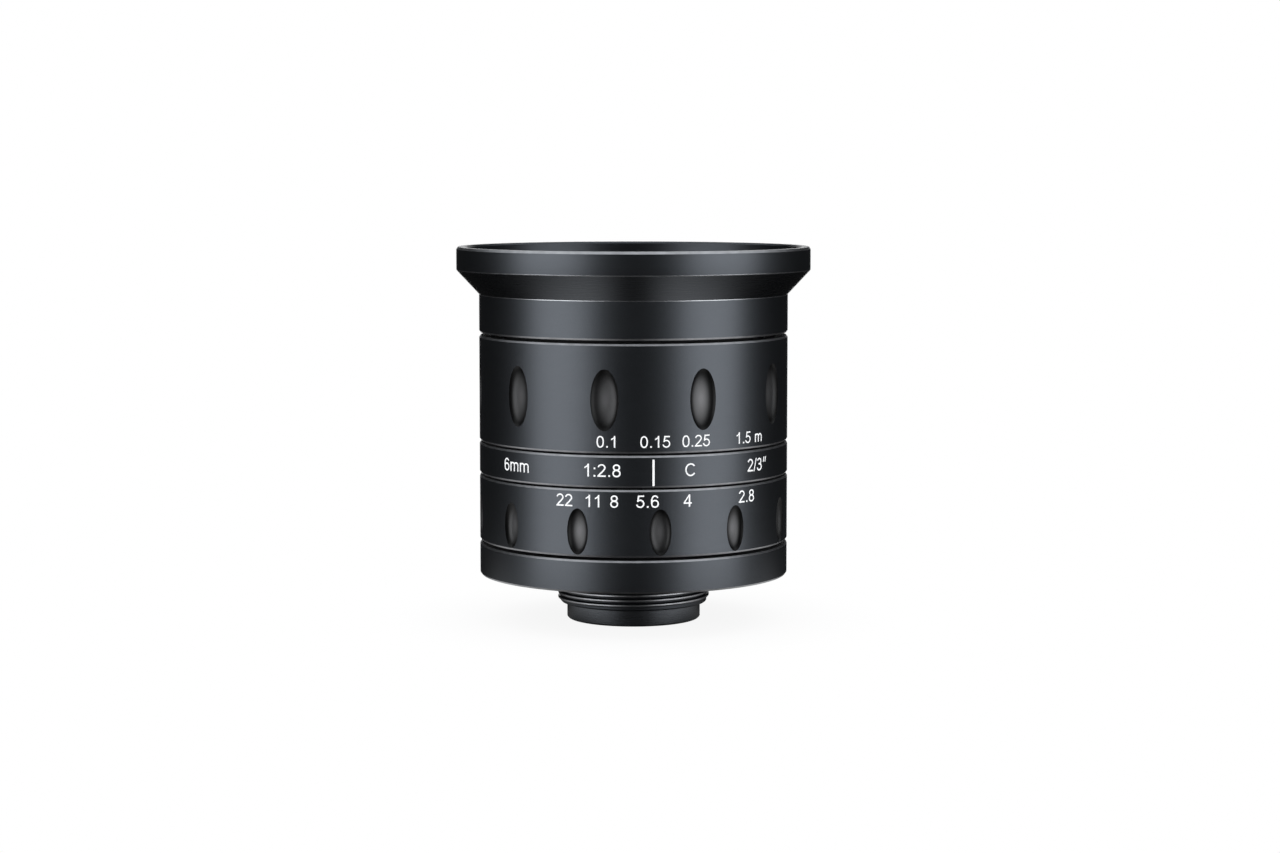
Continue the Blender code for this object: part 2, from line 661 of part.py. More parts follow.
def make_focus(parent):
    """The focus ring with its dimples, the helicoid nut inside it and its stop screw."""
    top = FOCUS_Z + FOCUS_BAND
    profile = [
        (RING_INNER, FOCUS_Z),
        (BARREL_RADIUS - EDGE, FOCUS_Z),
        (BARREL_RADIUS, FOCUS_Z + EDGE),
        (BARREL_RADIUS, top - EDGE),
        (BARREL_RADIUS - EDGE, top),
        (UNDERCUT_RADIUS, top),
        (UNDERCUT_RADIUS, LAND_TOP_Z),
        (RING_INNER, LAND_TOP_Z),
    ]
    start = FOCUS_DIMPLE_ANGLE - 90
    segments = FOCUS_DIMPLES * FACETS_PER_FOCUS_DIMPLE
    ring = turned_part("focus_ring", profile, BLACK_METAL, parent, segments, start)
    middle = FOCUS_DIMPLE_BASE + FOCUS_DIMPLE_HEIGHT / 2
    ovals = dimples(
        FOCUS_DIMPLES,
        FOCUS_DIMPLE_ANGLE,
        FOCUS_DIMPLE_WIDTH,
        FOCUS_DIMPLE_HEIGHT,
        middle,
        BARREL_RADIUS,
    )
    combine(ring, "DIFFERENCE", "focus_dimples", ovals)
    stop_z = FOCUS_Z + STOP_SCREW_HEIGHT
    face = BARREL_RADIUS - SCREW_RECESS
    screw_hole(ring, "stop_screw_hole", face, stop_z)
    headed_screw("focus_stop_screw", SLEEVE_INNER + SEAT_GAP, face, stop_z, parent)

    nut_z = SLEEVE_TOP_Z + RUNNING_GAP
    nut = plain_ring(SLEEVE_INNER, NUT_RADIUS, nut_z, top - NUT_TOP_INSET)
    turned_part("helicoid_nut", nut, BLACK_METAL, parent, SLEEVE_SEGMENTS)


def make_hood(parent):
    inner_top = HOOD_RADIUS - RIM_WALL
    profile = [
        (SLEEVE_INNER, HOOD_Z),
        (BARREL_RADIUS - EDGE, HOOD_Z),
        (BARREL_RADIUS, HOOD_Z + EDGE),
        (BARREL_RADIUS, CONE_Z),
        (HOOD_RADIUS, RIM_Z),
        (HOOD_RADIUS, TOP_Z - EDGE),
        (HOOD_RADIUS - EDGE, TOP_Z),
        (inner_top, TOP_Z),
    ]
    radius = inner_top - BAFFLE_DRAFT
    z = TOP_Z - HOOD_RIM_DEPTH
    profile.append((radius, z))
    for _ in range(BAFFLE_COUNT):
        radius -= BAFFLE_STEP
        profile.append((radius, z))
        radius -= BAFFLE_DRAFT
        z -= BAFFLE_PITCH
        profile.append((radius, z))
    profile.append((SLEEVE_INNER, z))
    turned_part("front_hood", profile, BLACK_METAL, parent)


def make_front_cell(parent):
    """The cell that slides in the sleeve, with four glasses, their spacers and the keeper."""
    bores = [form[0] + GLASS_FIT for form in (GLASS_1, GLASS_2, GLASS_3, GLASS_4)]
    skirt_z = HOOD_Z - CELL_SKIRT
    nose_z = SEAT_4_Z - NOSE_LENGTH
    nose_radius = bores[3] + CELL_WALL
    throat_radius = bores[2] + CELL_WALL
    web_z = SEAT_2_Z - CELL_WEB
    profile = [
        (CELL_RADIUS, skirt_z),
        (CELL_RADIUS, CELL_TOP_Z),
        (bores[0], CELL_TOP_Z),
        (bores[0], SEAT_1_Z),
        (bores[1], SEAT_1_Z),
        (bores[1], SEAT_2_Z),
        (bores[2], SEAT_2_Z),
        (bores[2], SEAT_3_Z),
        (bores[3], SEAT_3_Z),
        (bores[3], SEAT_4_Z),
        (NOSE_OPENING, SEAT_4_Z),
        (NOSE_OPENING, nose_z),
        (nose_radius, nose_z),
        (nose_radius, SEAT_3_Z - CELL_WALL),
        (throat_radius, SEAT_3_Z - CELL_WALL),
        (throat_radius, web_z),
        (CELL_RADIUS - CELL_WALL, web_z),
        (CELL_RADIUS - CELL_WALL, skirt_z),
    ]
    cell = turned_part("front_cell", profile, MATT_BLACK, parent, CELL_SEGMENTS)
    way_top = SLEEVE_TOP_Z + KEY_INSET - nose_z
    way = radial_box(
        KEY_ANGLE,
        KEY_OUTER - KEY_DEPTH - RUNNING_GAP,
        CELL_RADIUS + CELL_WALL,
        KEY_WIDTH + 2 * RUNNING_GAP,
        skirt_z - nose_z - CELL_WALL,
        way_top,
    )
    combine(cell, "DIFFERENCE", "keyway", way)

    seats = [z + SEAT_GAP for z in (SEAT_1_Z, SEAT_2_Z, SEAT_3_Z, SEAT_4_Z)]
    glass("front_glass", GLASS_1, seats[0], parent, CELL_SEGMENTS, 3)
    glass("second_glass", GLASS_2, seats[1], parent)
    glass("third_glass", GLASS_3, seats[2], parent)
    glass("fourth_glass", GLASS_4, seats[3], parent)
    spacers = (
        ("second_glass_spacer", GLASS_2, seats[1], SEAT_1_Z, 0),
        ("third_glass_spacer", GLASS_3, seats[2], SEAT_2_Z, 0),
        ("fourth_glass_spacer", GLASS_4, seats[3], SEAT_3_Z, abs(GLASS_3[3])),
    )
    for name, form, seat, top, bulge in spacers:
        outer = form[0]
        inner = outer - KEEPER_WIDTH
        bottom = seat + form[1] + SEAT_GAP
        drop = rim_rise(bulge, inner, outer + GLASS_FIT) if bulge else 0
        outline = [
            (inner, bottom + rim_rise(form[2], inner, outer)),
            (outer, bottom),
            (outer, top),
            (inner, top - drop),
        ]
        turned_part(name, outline, MATT_BLACK, parent, GLASS_SEGMENTS)
    outer = GLASS_1[0]
    rise = rim_rise(GLASS_1[2], outer - KEEPER_WIDTH, outer)
    rim_z = seats[0] + GLASS_1[1] + SEAT_GAP
    keeper("front_keeper_ring", outer, rim_z, CELL_TOP_Z, parent, rise, CELL_SEGMENTS)


def blade_drive_at(turn):
    """Where a blade's drive pin is once the iris ring has turned that far from full opening."""
    pivot = polar(BLADE_PIVOT_RADIUS, 0)
    return turned_about(polar(BLADE_DRIVE_RADIUS, BLADE_DRIVE_ANGLE), BLADE_RATIO * turn, pivot)


def cam_slot(number):
    """A slot of the cam ring as it lies at rest: the path of a drive pin, seen from the ring."""
    over = math.degrees(PIN_PLAY / BLADE_DRIVE_RADIUS) + CAM_SLOT_MARGIN_ANGLE
    half = PIN_RADIUS + PIN_PLAY
    centre = Vector((0, 0))
    path = []
    for step in range(CAM_SLOT_STEPS + 1):
        turn = -over + (IRIS_SPAN + 2 * over) * step / CAM_SLOT_STEPS
        place = turned_about(blade_drive_at(turn), IRIS_OPEN_TURN - turn, centre)
        path.append(turned_about(place, 360 * number / BLADES, centre))
    left = []
    right = []
    for step, point in enumerate(path):
        ahead = path[min(step + 1, CAM_SLOT_STEPS)] - path[max(step - 1, 0)]
        side = Vector((-ahead.y, ahead.x)).normalized() * half
        left.append(point + side)
        right.append(point - side)
    tail = (path[0] - path[1]).normalized() * half
    head = (path[-1] - path[-2]).normalized() * half
    outline = [*left, path[-1] + head, *reversed(right), path[0] + tail]
    return prism(outline, -CAM_THICKNESS, 2 * CAM_THICKNESS)


def blade_outline():
    """The fully open blade about the optical axis: a curved arm with a tab for its two pins."""
    inner = []
    outer = []
    tab = []
    neck = BLADE_DRIVE_ANGLE + TAB_NECK_ANGLE
    tab_end = BLADE_DRIVE_ANGLE + TAB_MARGIN_ANGLE
    tab_radius = max(BLADE_PIVOT_RADIUS, BLADE_DRIVE_RADIUS) + TAB_MARGIN
    for step in range(BLADE_STEPS + 1):
        share = step / BLADE_STEPS
        inner.append(polar(STOP_OPEN, BLADE_START + (BLADE_END - BLADE_START) * share))
    for step in range(TAB_STEPS + 1):
        share = step / TAB_STEPS
        outer.append(polar(STOP_OPEN + BLADE_WIDTH, BLADE_END + (neck - BLADE_END) * share))
        tab.append(polar(tab_radius, tab_end - (tab_end + TAB_MARGIN_ANGLE) * share))
    return inner + outer + tab


def pin(place, bottom, top):
    outline = [place + polar(PIN_RADIUS, 360 * step / PIN_SEGMENTS) for step in range(PIN_SEGMENTS)]
    return prism(outline, bottom, top)


def make_blade(number, parent):
    """One blade with its origin on its pivot, swung to where the ring stands at rest."""
    pivot = polar(BLADE_PIVOT_RADIUS, 0)
    level = BLADE_Z + number * BLADE_PITCH
    outline = [point - pivot for point in blade_outline()]
    place = polar(BLADE_PIVOT_RADIUS, 360 * number / BLADES)
    turn = 360 * number / BLADES + BLADE_RATIO * IRIS_OPEN_TURN
    blade = add_object(
        f"iris_blade_{number + 1}",
        prism(outline, 0, BLADE_THICKNESS),
        BLADE_STEEL,
        parent,
        (*place, level),
        turn,
    )
    drive = polar(BLADE_DRIVE_RADIUS, BLADE_DRIVE_ANGLE) - pivot
    middle = BLADE_THICKNESS / 2
    foot = PLATE_Z + PLATE_THICKNESS - PIVOT_SINK - level
    head = CAM_Z + DRIVE_PIN_REACH - level
    pins = merged([pin(Vector((0, 0)), foot, middle), pin(drive, middle, head)])
    combine(blade, "UNION", f"blade_{number + 1}_pins", pins)


def make_iris(housing, ring_body):
    """Blade plate, blades, cam ring with its fork, cover, and the outer ring that turns them."""
    edge = CELL_RADIUS
    plate = turned_part(
        "blade_plate",
        plain_ring(PLATE_OPENING, edge, PLATE_Z, PLATE_Z + PLATE_THICKNESS),
        BLACK_METAL,
        housing,
        INNER_SEGMENTS,
    )
    holes = []
    for number in range(BLADES):
        place = polar(BLADE_PIVOT_RADIUS, 360 * number / BLADES)
        outline = []
        for step in range(PIN_SEGMENTS):
            outline.append(place + polar(PIN_RADIUS + PIN_PLAY, 360 * step / PIN_SEGMENTS))
        holes.append(prism(outline, -PLATE_THICKNESS, 2 * PLATE_THICKNESS))
    combine(plate, "DIFFERENCE", "pivot_holes", merged(holes))

    cam_middle = BLADE_DRIVE_RADIUS - CAM_RIB
    cam_profile = plain_ring(
        cam_middle - CAM_WIDTH / 2 - CAM_RIB,
        cam_middle + CAM_WIDTH / 2 + CAM_RIB,
        CAM_Z,
        CAM_Z + CAM_THICKNESS,
    )
    cam = turned_part("iris_cam_ring", cam_profile, BRASS, ring_body, INNER_SEGMENTS)
    combine(cam, "DIFFERENCE", "cam_slots", merged([cam_slot(number) for number in range(BLADES)]))
    arm_inner = cam_middle + CAM_WIDTH / 2
    arm_top = CAM_THICKNESS - ARM_INSET
    arm = radial_box(BACK_ANGLE, arm_inner, ARM_REACH, ARM_WIDTH, ARM_INSET, arm_top)
    combine(cam, "UNION", "cam_arm", arm)
    fork = radial_box(
        BACK_ANGLE,
        ARM_REACH - FORK_DEPTH,
        ARM_REACH + FORK_DEPTH,
        2 * (SCREW_PIN_RADIUS + RUNNING_GAP / 2),
        -CAM_THICKNESS,
        2 * CAM_THICKNESS,
    )
    combine(cam, "DIFFERENCE", "cam_fork", fork)

    spacer_z = PLATE_Z + PLATE_THICKNESS + SEAT_GAP
    spacer_top = COVER_Z - SEAT_GAP
    spacer = turned_part(
        "iris_spacer_ring",
        plain_ring(edge - SPIGOT_WALL, edge, spacer_z, spacer_top),
        BLACK_METAL,
        housing,
        INNER_SEGMENTS,
    )
    tall = spacer_top - spacer_z
    gap = sector(
        edge - 2 * SPIGOT_WALL,
        edge + SPIGOT_WALL,
        BACK_ANGLE - 90 - IRIS_OPEN_TURN - ARM_MARGIN_ANGLE,
        BACK_ANGLE - 90 + IRIS_CLOSE_TURN + ARM_MARGIN_ANGLE,
        -tall,
        2 * tall,
    )
    combine(spacer, "DIFFERENCE", "arm_window", gap)
    turned_part(
        "iris_cover_plate",
        plain_ring(COVER_OPENING, edge, COVER_Z, COVER_Z + COVER_THICKNESS),
        BLACK_METAL,
        housing,
        INNER_SEGMENTS,
    )

    ring = turned_part(
        "iris_ring",
        band(RING_INNER, BARREL_RADIUS, IRIS_Z, IRIS_Z + IRIS_BAND),
        BLACK_METAL,
        ring_body,
        IRIS_DIMPLES * FACETS_PER_IRIS_DIMPLE,
        IRIS_DIMPLE_ANGLE - 90,
    )
    ovals = dimples(
        IRIS_DIMPLES,
        IRIS_DIMPLE_ANGLE,
        IRIS_DIMPLE_WIDTH,
        IRIS_DIMPLE_HEIGHT,
        IRIS_DIMPLE_BASE + IRIS_DIMPLE_HEIGHT / 2,
        BARREL_RADIUS,
    )
    combine(ring, "DIFFERENCE", "iris_dimples", ovals)
    face = BARREL_RADIUS - SCREW_RECESS
    screw_hole(ring, "drive_screw_hole", face, DRIVE_Z)
    headed_screw("iris_drive_screw", ARM_REACH - FORK_DEPTH / 2, face, DRIVE_Z, ring_body)
    for number in range(BLADES):
        make_blade(number, housing)


def main():
    for old in list(bpy.data.objects):
        bpy.data.objects.remove(old)
    housing = add_empty("housing")
    focus = add_empty("focus_group", housing)
    front = add_empty("front_group", housing)
    iris = add_empty("iris_group", housing)
    make_mount(housing)
    make_sleeve(housing)
    make_focus(focus)
    make_hood(front)
    make_front_cell(front)
    make_iris(housing, iris)


main()
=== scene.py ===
"""The finish of a C-mount lens: fine turned shapes, oval dimples, printed scales and glass."""

import json
import math

import bmesh
import bpy
from mathutils import Matrix, Vector
from mathutils.geometry import delaunay_2d_cdt


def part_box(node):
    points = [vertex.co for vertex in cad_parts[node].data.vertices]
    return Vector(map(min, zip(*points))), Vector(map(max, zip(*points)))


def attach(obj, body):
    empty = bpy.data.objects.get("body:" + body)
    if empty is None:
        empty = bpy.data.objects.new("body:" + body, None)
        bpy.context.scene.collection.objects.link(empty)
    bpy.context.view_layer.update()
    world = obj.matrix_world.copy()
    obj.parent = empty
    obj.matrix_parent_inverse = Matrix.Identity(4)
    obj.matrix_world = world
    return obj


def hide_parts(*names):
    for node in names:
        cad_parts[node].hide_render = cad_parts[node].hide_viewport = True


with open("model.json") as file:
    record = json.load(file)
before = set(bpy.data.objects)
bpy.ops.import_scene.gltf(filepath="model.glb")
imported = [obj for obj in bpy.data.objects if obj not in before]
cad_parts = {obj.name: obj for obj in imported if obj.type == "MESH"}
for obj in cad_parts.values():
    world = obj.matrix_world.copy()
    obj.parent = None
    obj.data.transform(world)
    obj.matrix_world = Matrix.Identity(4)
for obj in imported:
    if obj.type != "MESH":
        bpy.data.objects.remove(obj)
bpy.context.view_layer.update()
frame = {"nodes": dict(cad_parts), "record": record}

MM = 0.001
FINE = 240
SOFT_EDGE = 0.06 * MM
CORNER_STEPS = 4
SIDE_SHARE = 0.45
SHARP = math.radians(28)
FLAT = 0.95
SLOPED = 0.25

# Places read from the frame
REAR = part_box("rear_housing")
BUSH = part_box("mount_thread_bush")
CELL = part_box("rear_cell")
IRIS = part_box("iris_ring")
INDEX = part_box("index_ring")
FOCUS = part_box("focus_ring")
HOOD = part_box("front_hood")
FRONT_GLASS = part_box("front_glass")
FRONT_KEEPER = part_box("front_keeper_ring")
REAR_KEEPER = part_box("rear_keeper_ring")
REAR_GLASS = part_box("rear_outer_glass")
# Inner tubes seen in the grooves; their matt black is partly painted shade.
GROOVE_SHADE_TUBES = ("main_sleeve", "focus_keeper_ring", "helicoid_nut")

BARREL = 25.75 * MM
HOOD_RADIUS = HOOD[1].x
REAR_BAND = 5.3 * MM
EDGE_CHAMFER = 0.3 * MM
CHAMFER_SLOPE = 0.7
RIM_CHAMFER = 0.4 * MM
EDGE_LINE = 0.1 * MM
CONE_CREASE = 0.01 * MM
CHAMFER = 0.25 * MM
RING_BORE = 23.4 * MM
GRIP_UNDERCUT = 24.0 * MM
GRIP_LAND = 6.9 * MM
SPIGOT_RADIUS = 21.5 * MM
SPIGOT_BORE = 19.5 * MM
SPIGOT_OVERLAP = 0.5 * MM
SCREW_RECESS_RADIUS = 1.46 * MM
SCREW_CUT_LENGTH = 8 * MM

# Hood: cone and light-trap steps
HOOD_TUBE = 6.3 * MM
HOOD_CONE = 4.04 * MM
HOOD_BORE = 21.75 * MM
RIM_WALL = 1.5 * MM
RIM_DEPTH = 2.8 * MM
BAFFLES = 2
BAFFLE_STEP = 2.05 * MM
BAFFLE_PITCH = 2.2 * MM
BAFFLE_DRAFT = 0.1 * MM
PAINT_MARGIN = 0.02 * MM
LOOKS_UP = 0.5
CONE_TILT = (-0.8, -0.6)

# Mount: pilot, thread, the bush's collar and the steps of the cell inside
PILOT_RADIUS = 11.17 * MM
PILOT_BORE = 9.5 * MM
THREAD_RADIUS = 12.7 * MM
THREAD_PITCH = 0.794 * MM
THREAD_DEPTH = 0.43 * MM
THREAD_REACH = 0.55 * MM
THREAD_GAP = 0.1 * MM
CREST_ROUND = 0.1 * MM
CREST_TILT = (-0.9, 0.3)
RIDGE_STEPS = 96
RUN_OUT_STEPS = RIDGE_STEPS / 3
RIDGE_SUNK = 0.05 * MM
RIDGE_SHARES = (0.48, 0.3, 0.12)
BUSH_GAP = 0.15 * MM
BUSH_CHAMFER = 0.2 * MM
BUSH_NECK = 2.2 * MM
COLLAR_RADIUS = 14.8 * MM
COLLAR_FOOT = 2.25 * MM
SHOULDER_RADIUS = 14.6 * MM
SHOULDER_GAP = 0.05 * MM
SHOULDER_HEIGHT = 1.15 * MM
CELL_WALL = 10.4 * MM
DOUBLET_BORE = 8.05 * MM
DOUBLET_SEAT_Z = 11.8 * MM
LIP_BORE = 7.2 * MM
LIP_Z = 10.2 * MM
CELL_PAINT_MARGIN = 0.05 * MM

# Glasses: height of the edge, curves of the front and the rear, width of the flat rim
FRONT_LENS = (3.8 * MM, 48 * MM, 20 * MM, 6.6 * MM)
REAR_LENS = (2.2 * MM, 60 * MM, 25 * MM, 1.8 * MM)
LENS_SEGMENTS = 160
GLASS_GAP = 0.02 * MM
KEEPER_WIDTH = 1.5 * MM
KEEPER_RISE = 0.7 * MM
SPANNER_SLOT = 1.2 * MM

# Finger dimples: count, angle of one from -Y towards +X, width, height, height of the lower end
FOCUS_DIMPLES = (10, -10.4, 4.68 * MM, 9.85 * MM, 3.55 * MM)
IRIS_DIMPLES = (12, 9.62, 3.6 * MM, 7.45 * MM, 0.3 * MM)
DIMPLE_DEPTH = 0.8 * MM
DIMPLE_LIFT = 0.5 * MM
DIMPLE_SPAN = (1.05 * MM, 0.008 * MM)
DIMPLE_MARGIN = 0.3

# Printing: the text, the angle of its middle, then for each scale its foot and digit height
FOCUS_SCALE = (("0.1", -9.8), ("0.15", 7.75), ("0.25", 22.9), ("1.5", 43.6), ("m", 51.7))
FOCUS_SCALE_Z = FOCUS[0].z + 0.96 * MM
FOCUS_DIGIT = 1.86 * MM
IRIS_SCALE = (("22", -25.4), ("11", -14.7), ("8", -6.85), ("5.6", 4.95), ("4", 19.6), ("2.8", 45.2))
IRIS_SCALE_Z = IRIS[0].z + 8.05 * MM
IRIS_DIGIT = 1.97 * MM
INDEX_MARKS = (("6mm", -47.6), ("1:2.8", -11.1), ("C", 20.5), ('2/3"', 51.2))
INDEX_MARKS_Z = INDEX[0].z + 1.75 * MM
INDEX_DIGIT = 2.04 * MM
INDEX_ANGLE = 7.09
INDEX_LINE_WIDTH = 0.34 * MM
INDEX_LINE_INSET = (0.3 * MM, 0.6 * MM)
DIGIT_SHARE = 0.716
STROKE = 0.082
MITRE_LIMIT = 0.35
JOIN_DISTANCE = 0.0005
PRINT_LIFT = 0.012 * MM
PRINT_THICKNESS = 0.02 * MM

# Camera, fitted to the photo's outline; pixels are of a 1280 wide picture
FOCAL_PIXELS = 2770.9
PICTURE_WIDTH = 1280
SENSOR = 36.0
CAMERA_PLACE = (0, -0.46274, 0.07613)
CAMERA_PITCH = 5.431
CAMERA_YAW = -0.135

# Noise of the finishes: the scales, and the two ends that its values are spread between
GRAIN = 9000
TURNING = 260
TURNING_STRETCH = (1, 1, 60)
NOISE_ENDS = (0.3, 0.7)

# Lamps: place, aim, size, power and colour
STRIP_ANGLES = (("left_strip", -54.5), ("right_strip", 58))
STRIP_DISTANCE = 0.5
STRIP_HEIGHT = 0.05
STRIP_SIZE = (0.44, 0.36)
STRIP_POWER = 1.95
STRIP_COLOUR = (0.96, 0.98, 1)
LENS_MIDDLE = (0, 0, 0.03)
BACK_STRIP = ((0, 0.5, 0.05), LENS_MIDDLE, (0.24, 0.36), 0.45)
TOP_PANEL = ((0, 0.1, 0.6), (0, 0.1, 0), (1.3, 0.9), 5.5, (0.94, 0.97, 1))

# Floor and backdrop; each fade has its two ends, then the two levels where they aren't 0 and 1
FLOOR_RADIUS = 0.075
FLOOR_DROP = 0.02 * MM
FLOOR_FADE = (0.010, 0.045, 0.9, 1.0)
GLOW_ASIDE = (0.004, 0.036, 0.04, 1.0)
GLOW_SLANT = -0.3
GLOW_FRONT = (0.010, -0.018)
GLOW_NEAR = (0.076, 0.062)
BACKDROP_FADE = (0.97, 0.998)
ROOM_LEVEL = 0.01


def polar(radius, degrees):
    angle = math.radians(degrees)
    return Vector((radius * math.cos(angle), radius * math.sin(angle)))


def softened(profile):
    """The closed outline with its corners rounded; a corner may give the reach of a flat chamfer."""
    rounded = []
    count = len(profile)
    for number, corner in enumerate(profile):
        size = corner[2] if len(corner) > 2 else SOFT_EDGE
        here = Vector(corner[:2])
        before = Vector(profile[number - 1][:2])
        after = Vector(profile[(number + 1) % count][:2])
        reach = min(size, (before - here).length * SIDE_SHARE, (after - here).length * SIDE_SHARE)
        first = here + (before - here).normalized() * reach
        last = here + (after - here).normalized() * reach
        if len(corner) > 2:
            for end in (first, last):
                rounded.append((here.x + (end.x - here.x) * CHAMFER_SLOPE, end.y))
            continue
        for step in range(CORNER_STEPS + 1):
            share = step / CORNER_STEPS
            onward = first.lerp(here, share)
            away = here.lerp(last, share)
            rounded.append(tuple(onward.lerp(away, share)))
    return rounded


def revolve(profile, segments=FINE):
    """A turned mesh from a closed outline of (radius, z), or one that runs from axis to axis."""
    made = bmesh.new()
    on_axis = profile[0][0] == 0
    rings = []
    for radius, z in profile:
        if radius == 0:
            rings.append([made.verts.new((0, 0, z))] * segments)
            continue
        ring = []
        for step in range(segments):
            ring.append(made.verts.new((*polar(radius, 360 * step / segments), z)))
        rings.append(ring)
    pairs = list(zip(rings, rings[1:]))
    if not on_axis:
        pairs.append((rings[-1], rings[0]))
    for lower, upper in pairs:
        for step in range(segments):
            after = (step + 1) % segments
            corners = (lower[step], lower[after], upper[after], upper[step])
            made.faces.new(list(dict.fromkeys(corners)))
    bmesh.ops.recalc_face_normals(made, faces=made.faces)
    return made


def put_in_scene(name, mesh_data, material=None):
    mesh = bpy.data.meshes.new(name)
    mesh_data.to_mesh(mesh)
    mesh_data.free()
    mesh.shade_smooth()
    mesh.set_sharp_from_angle(angle=SHARP)
    made = bpy.data.objects.new(name, mesh)
    bpy.context.collection.objects.link(made)
    if material:
        mesh.materials.append(material)
    return made


def piece(name, mesh_data, material, body, slot, *nodes):
    """A fine piece that rides a body, and stands for CAD nodes where any are named."""
    made = put_in_scene(name, mesh_data, material)
    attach(made, body)
    if nodes:
        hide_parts(*nodes)
    return made


def cut(target, cutter):
    """Takes the cutter's shape out of the target's mesh."""
    modifier = target.modifiers.new("cut", "BOOLEAN")
    modifier.operation = "DIFFERENCE"
    modifier.object = cutter
    modifier.solver = "EXACT"
    bpy.context.view_layer.update()
    evaluated = target.evaluated_get(bpy.context.evaluated_depsgraph_get())
    result = bpy.data.meshes.new_from_object(evaluated)
    target.modifiers.remove(modifier)
    old = target.data
    target.data = result
    result.name = target.name
    bpy.data.meshes.remove(old)
    bpy.data.objects.remove(cutter)
    result.shade_smooth()
    result.set_sharp_from_angle(angle=SHARP)


def band(bore, bottom, top):
    return [(bore, bottom), (BARREL, bottom, EDGE_CHAMFER), (BARREL, top, EDGE_CHAMFER), (bore, top)]


def give_finish(shell, finish, chosen):
    """Gives the faces that a test picks another finish; it gets the face and its radius."""
    shell.data.materials.append(finish)
    number = len(shell.data.materials) - 1
    for face in shell.data.polygons:
        if chosen(face, math.hypot(face.center.x, face.center.y)):
            face.material_index = number


def paint_edge_highlights(shell, radius, *levels, size=EDGE_CHAMFER):
    """Gives the outer chamfers at some levels the lighter edge metal, as painted highlight lines."""

    def chosen(face, out):
        near = any(abs(face.center.z - level) < size for level in levels)
        return near and out > radius - size and SLOPED < abs(face.normal.z) < FLAT

    give_finish(shell, EDGE_HIGHLIGHT, chosen)


def paint_groove_shade(shell, *levels):
    """Gives the flat ring faces at some levels, which lie in the grooves, the matt black paint as painted
    shade that keeps the grooves dark.
    """

    def chosen(face, out):
        near = any(abs(face.center.z - level) < SOFT_EDGE for level in levels)
        return near and abs(face.normal.z) > FLAT

    give_finish(shell, PAINT, chosen)


def dimple_cutter(form, bottom):
    """Flattened balls round the barrel that cut its finger dimples."""
    count, first, width, height, lower_end = form
    reach = DIMPLE_DEPTH + DIMPLE_LIFT
    spread = (1 - (DIMPLE_LIFT / reach) ** 2) ** 0.25
    size = Matrix.Diagonal((height / 2 / spread, width / 2 / spread, reach, 1))
    aim = Matrix.Rotation(math.pi / 2, 4, "Y")
    away = Matrix.Translation((BARREL + DIMPLE_LIFT, 0, bottom + lower_end + height / 2))
    whole = bmesh.new()
    for number in range(count):
        around = Matrix.Rotation(math.radians(first + 360 * number / count - 90), 4, "Z")
        matrix = around @ away @ aim @ size
        ball = bmesh.ops.create_uvsphere(whole, u_segments=64, v_segments=40, radius=1)
        for corner in ball["verts"]:
            x, y, z = corner.co
            flattened = math.sqrt(max(0, 1 - (x * x + y * y) ** 2))
            corner.co = matrix @ Vector((x, y, math.copysign(flattened, z) if abs(z) > 0.001 else 0))
    bmesh.ops.recalc_face_normals(whole, faces=whole.faces)
    return put_in_scene("cutter", whole)


def screw_cutter(z):
    """The round recess over a small screw at the back."""
    made = bmesh.new()
    bmesh.ops.create_cone(
        made,
        segments=40,
        radius1=SCREW_RECESS_RADIUS,
        radius2=SCREW_RECESS_RADIUS,
        depth=SCREW_CUT_LENGTH,
        matrix=Matrix.Translation((0, BARREL, z)) @ Matrix.Rotation(math.pi / 2, 4, "X"),
        cap_ends=True,
    )
    return put_in_scene("cutter", made)


def new_material(name, colour, roughness, metallic=0.0):
    made = bpy.data.materials.new(name)
    made.use_nodes = True
    shader = made.node_tree.nodes["Principled BSDF"]
    shader.inputs["Base Color"].default_value = (*colour, 1)
    shader.inputs["Roughness"].default_value = roughness
    shader.inputs["Metallic"].default_value = metallic
    return made, made.node_tree, shader


def add_noise(tree, scale, detail, stretch=(1, 1, 1)):
    coordinates = tree.nodes.new("ShaderNodeTexCoord")
    mapping = tree.nodes.new("ShaderNodeMapping")
    mapping.inputs["Scale"].default_value = stretch
    noise = tree.nodes.new("ShaderNodeTexNoise")
    noise.inputs["Scale"].default_value = scale
    noise.inputs["Detail"].default_value = detail
    tree.links.new(coordinates.outputs["Object"], mapping.inputs["Vector"])
    tree.links.new(mapping.outputs["Vector"], noise.inputs["Vector"])
    return noise


def add_bump(tree, shader, height, strength, distance):
    bump = tree.nodes.new("ShaderNodeBump")
    bump.inputs["Strength"].default_value = strength
    bump.inputs["Distance"].default_value = distance
    tree.links.new(height, bump.inputs["Height"])
    tree.links.new(bump.outputs["Normal"], shader.inputs["Normal"])


def vary(tree, shader, noise, socket, low, high):
    """Lets a noise move one value of the shader between two ends."""
    ramp = tree.nodes.new("ShaderNodeMapRange")
    ramp.inputs["From Min"].default_value = NOISE_ENDS[0]
    ramp.inputs["From Max"].default_value = NOISE_ENDS[1]
    ramp.inputs["To Min"].default_value = low
    ramp.inputs["To Max"].default_value = high
    tree.links.new(noise.outputs["Fac"], ramp.inputs["Value"])
    tree.links.new(ramp.outputs["Result"], shader.inputs[socket])


def mix_colours(tree, shader, noise, first, second):
    """Lets a noise mix the base colour from two."""
    ramp = tree.nodes.new("ShaderNodeValToRGB")
    ramp.color_ramp.elements[0].position = NOISE_ENDS[0]
    ramp.color_ramp.elements[0].color = (*first, 1)
    ramp.color_ramp.elements[1].position = NOISE_ENDS[1]
    ramp.color_ramp.elements[1].color = (*second, 1)
    tree.links.new(noise.outputs["Fac"], ramp.inputs["Fac"])
    tree.links.new(ramp.outputs["Color"], shader.inputs["Base Color"])


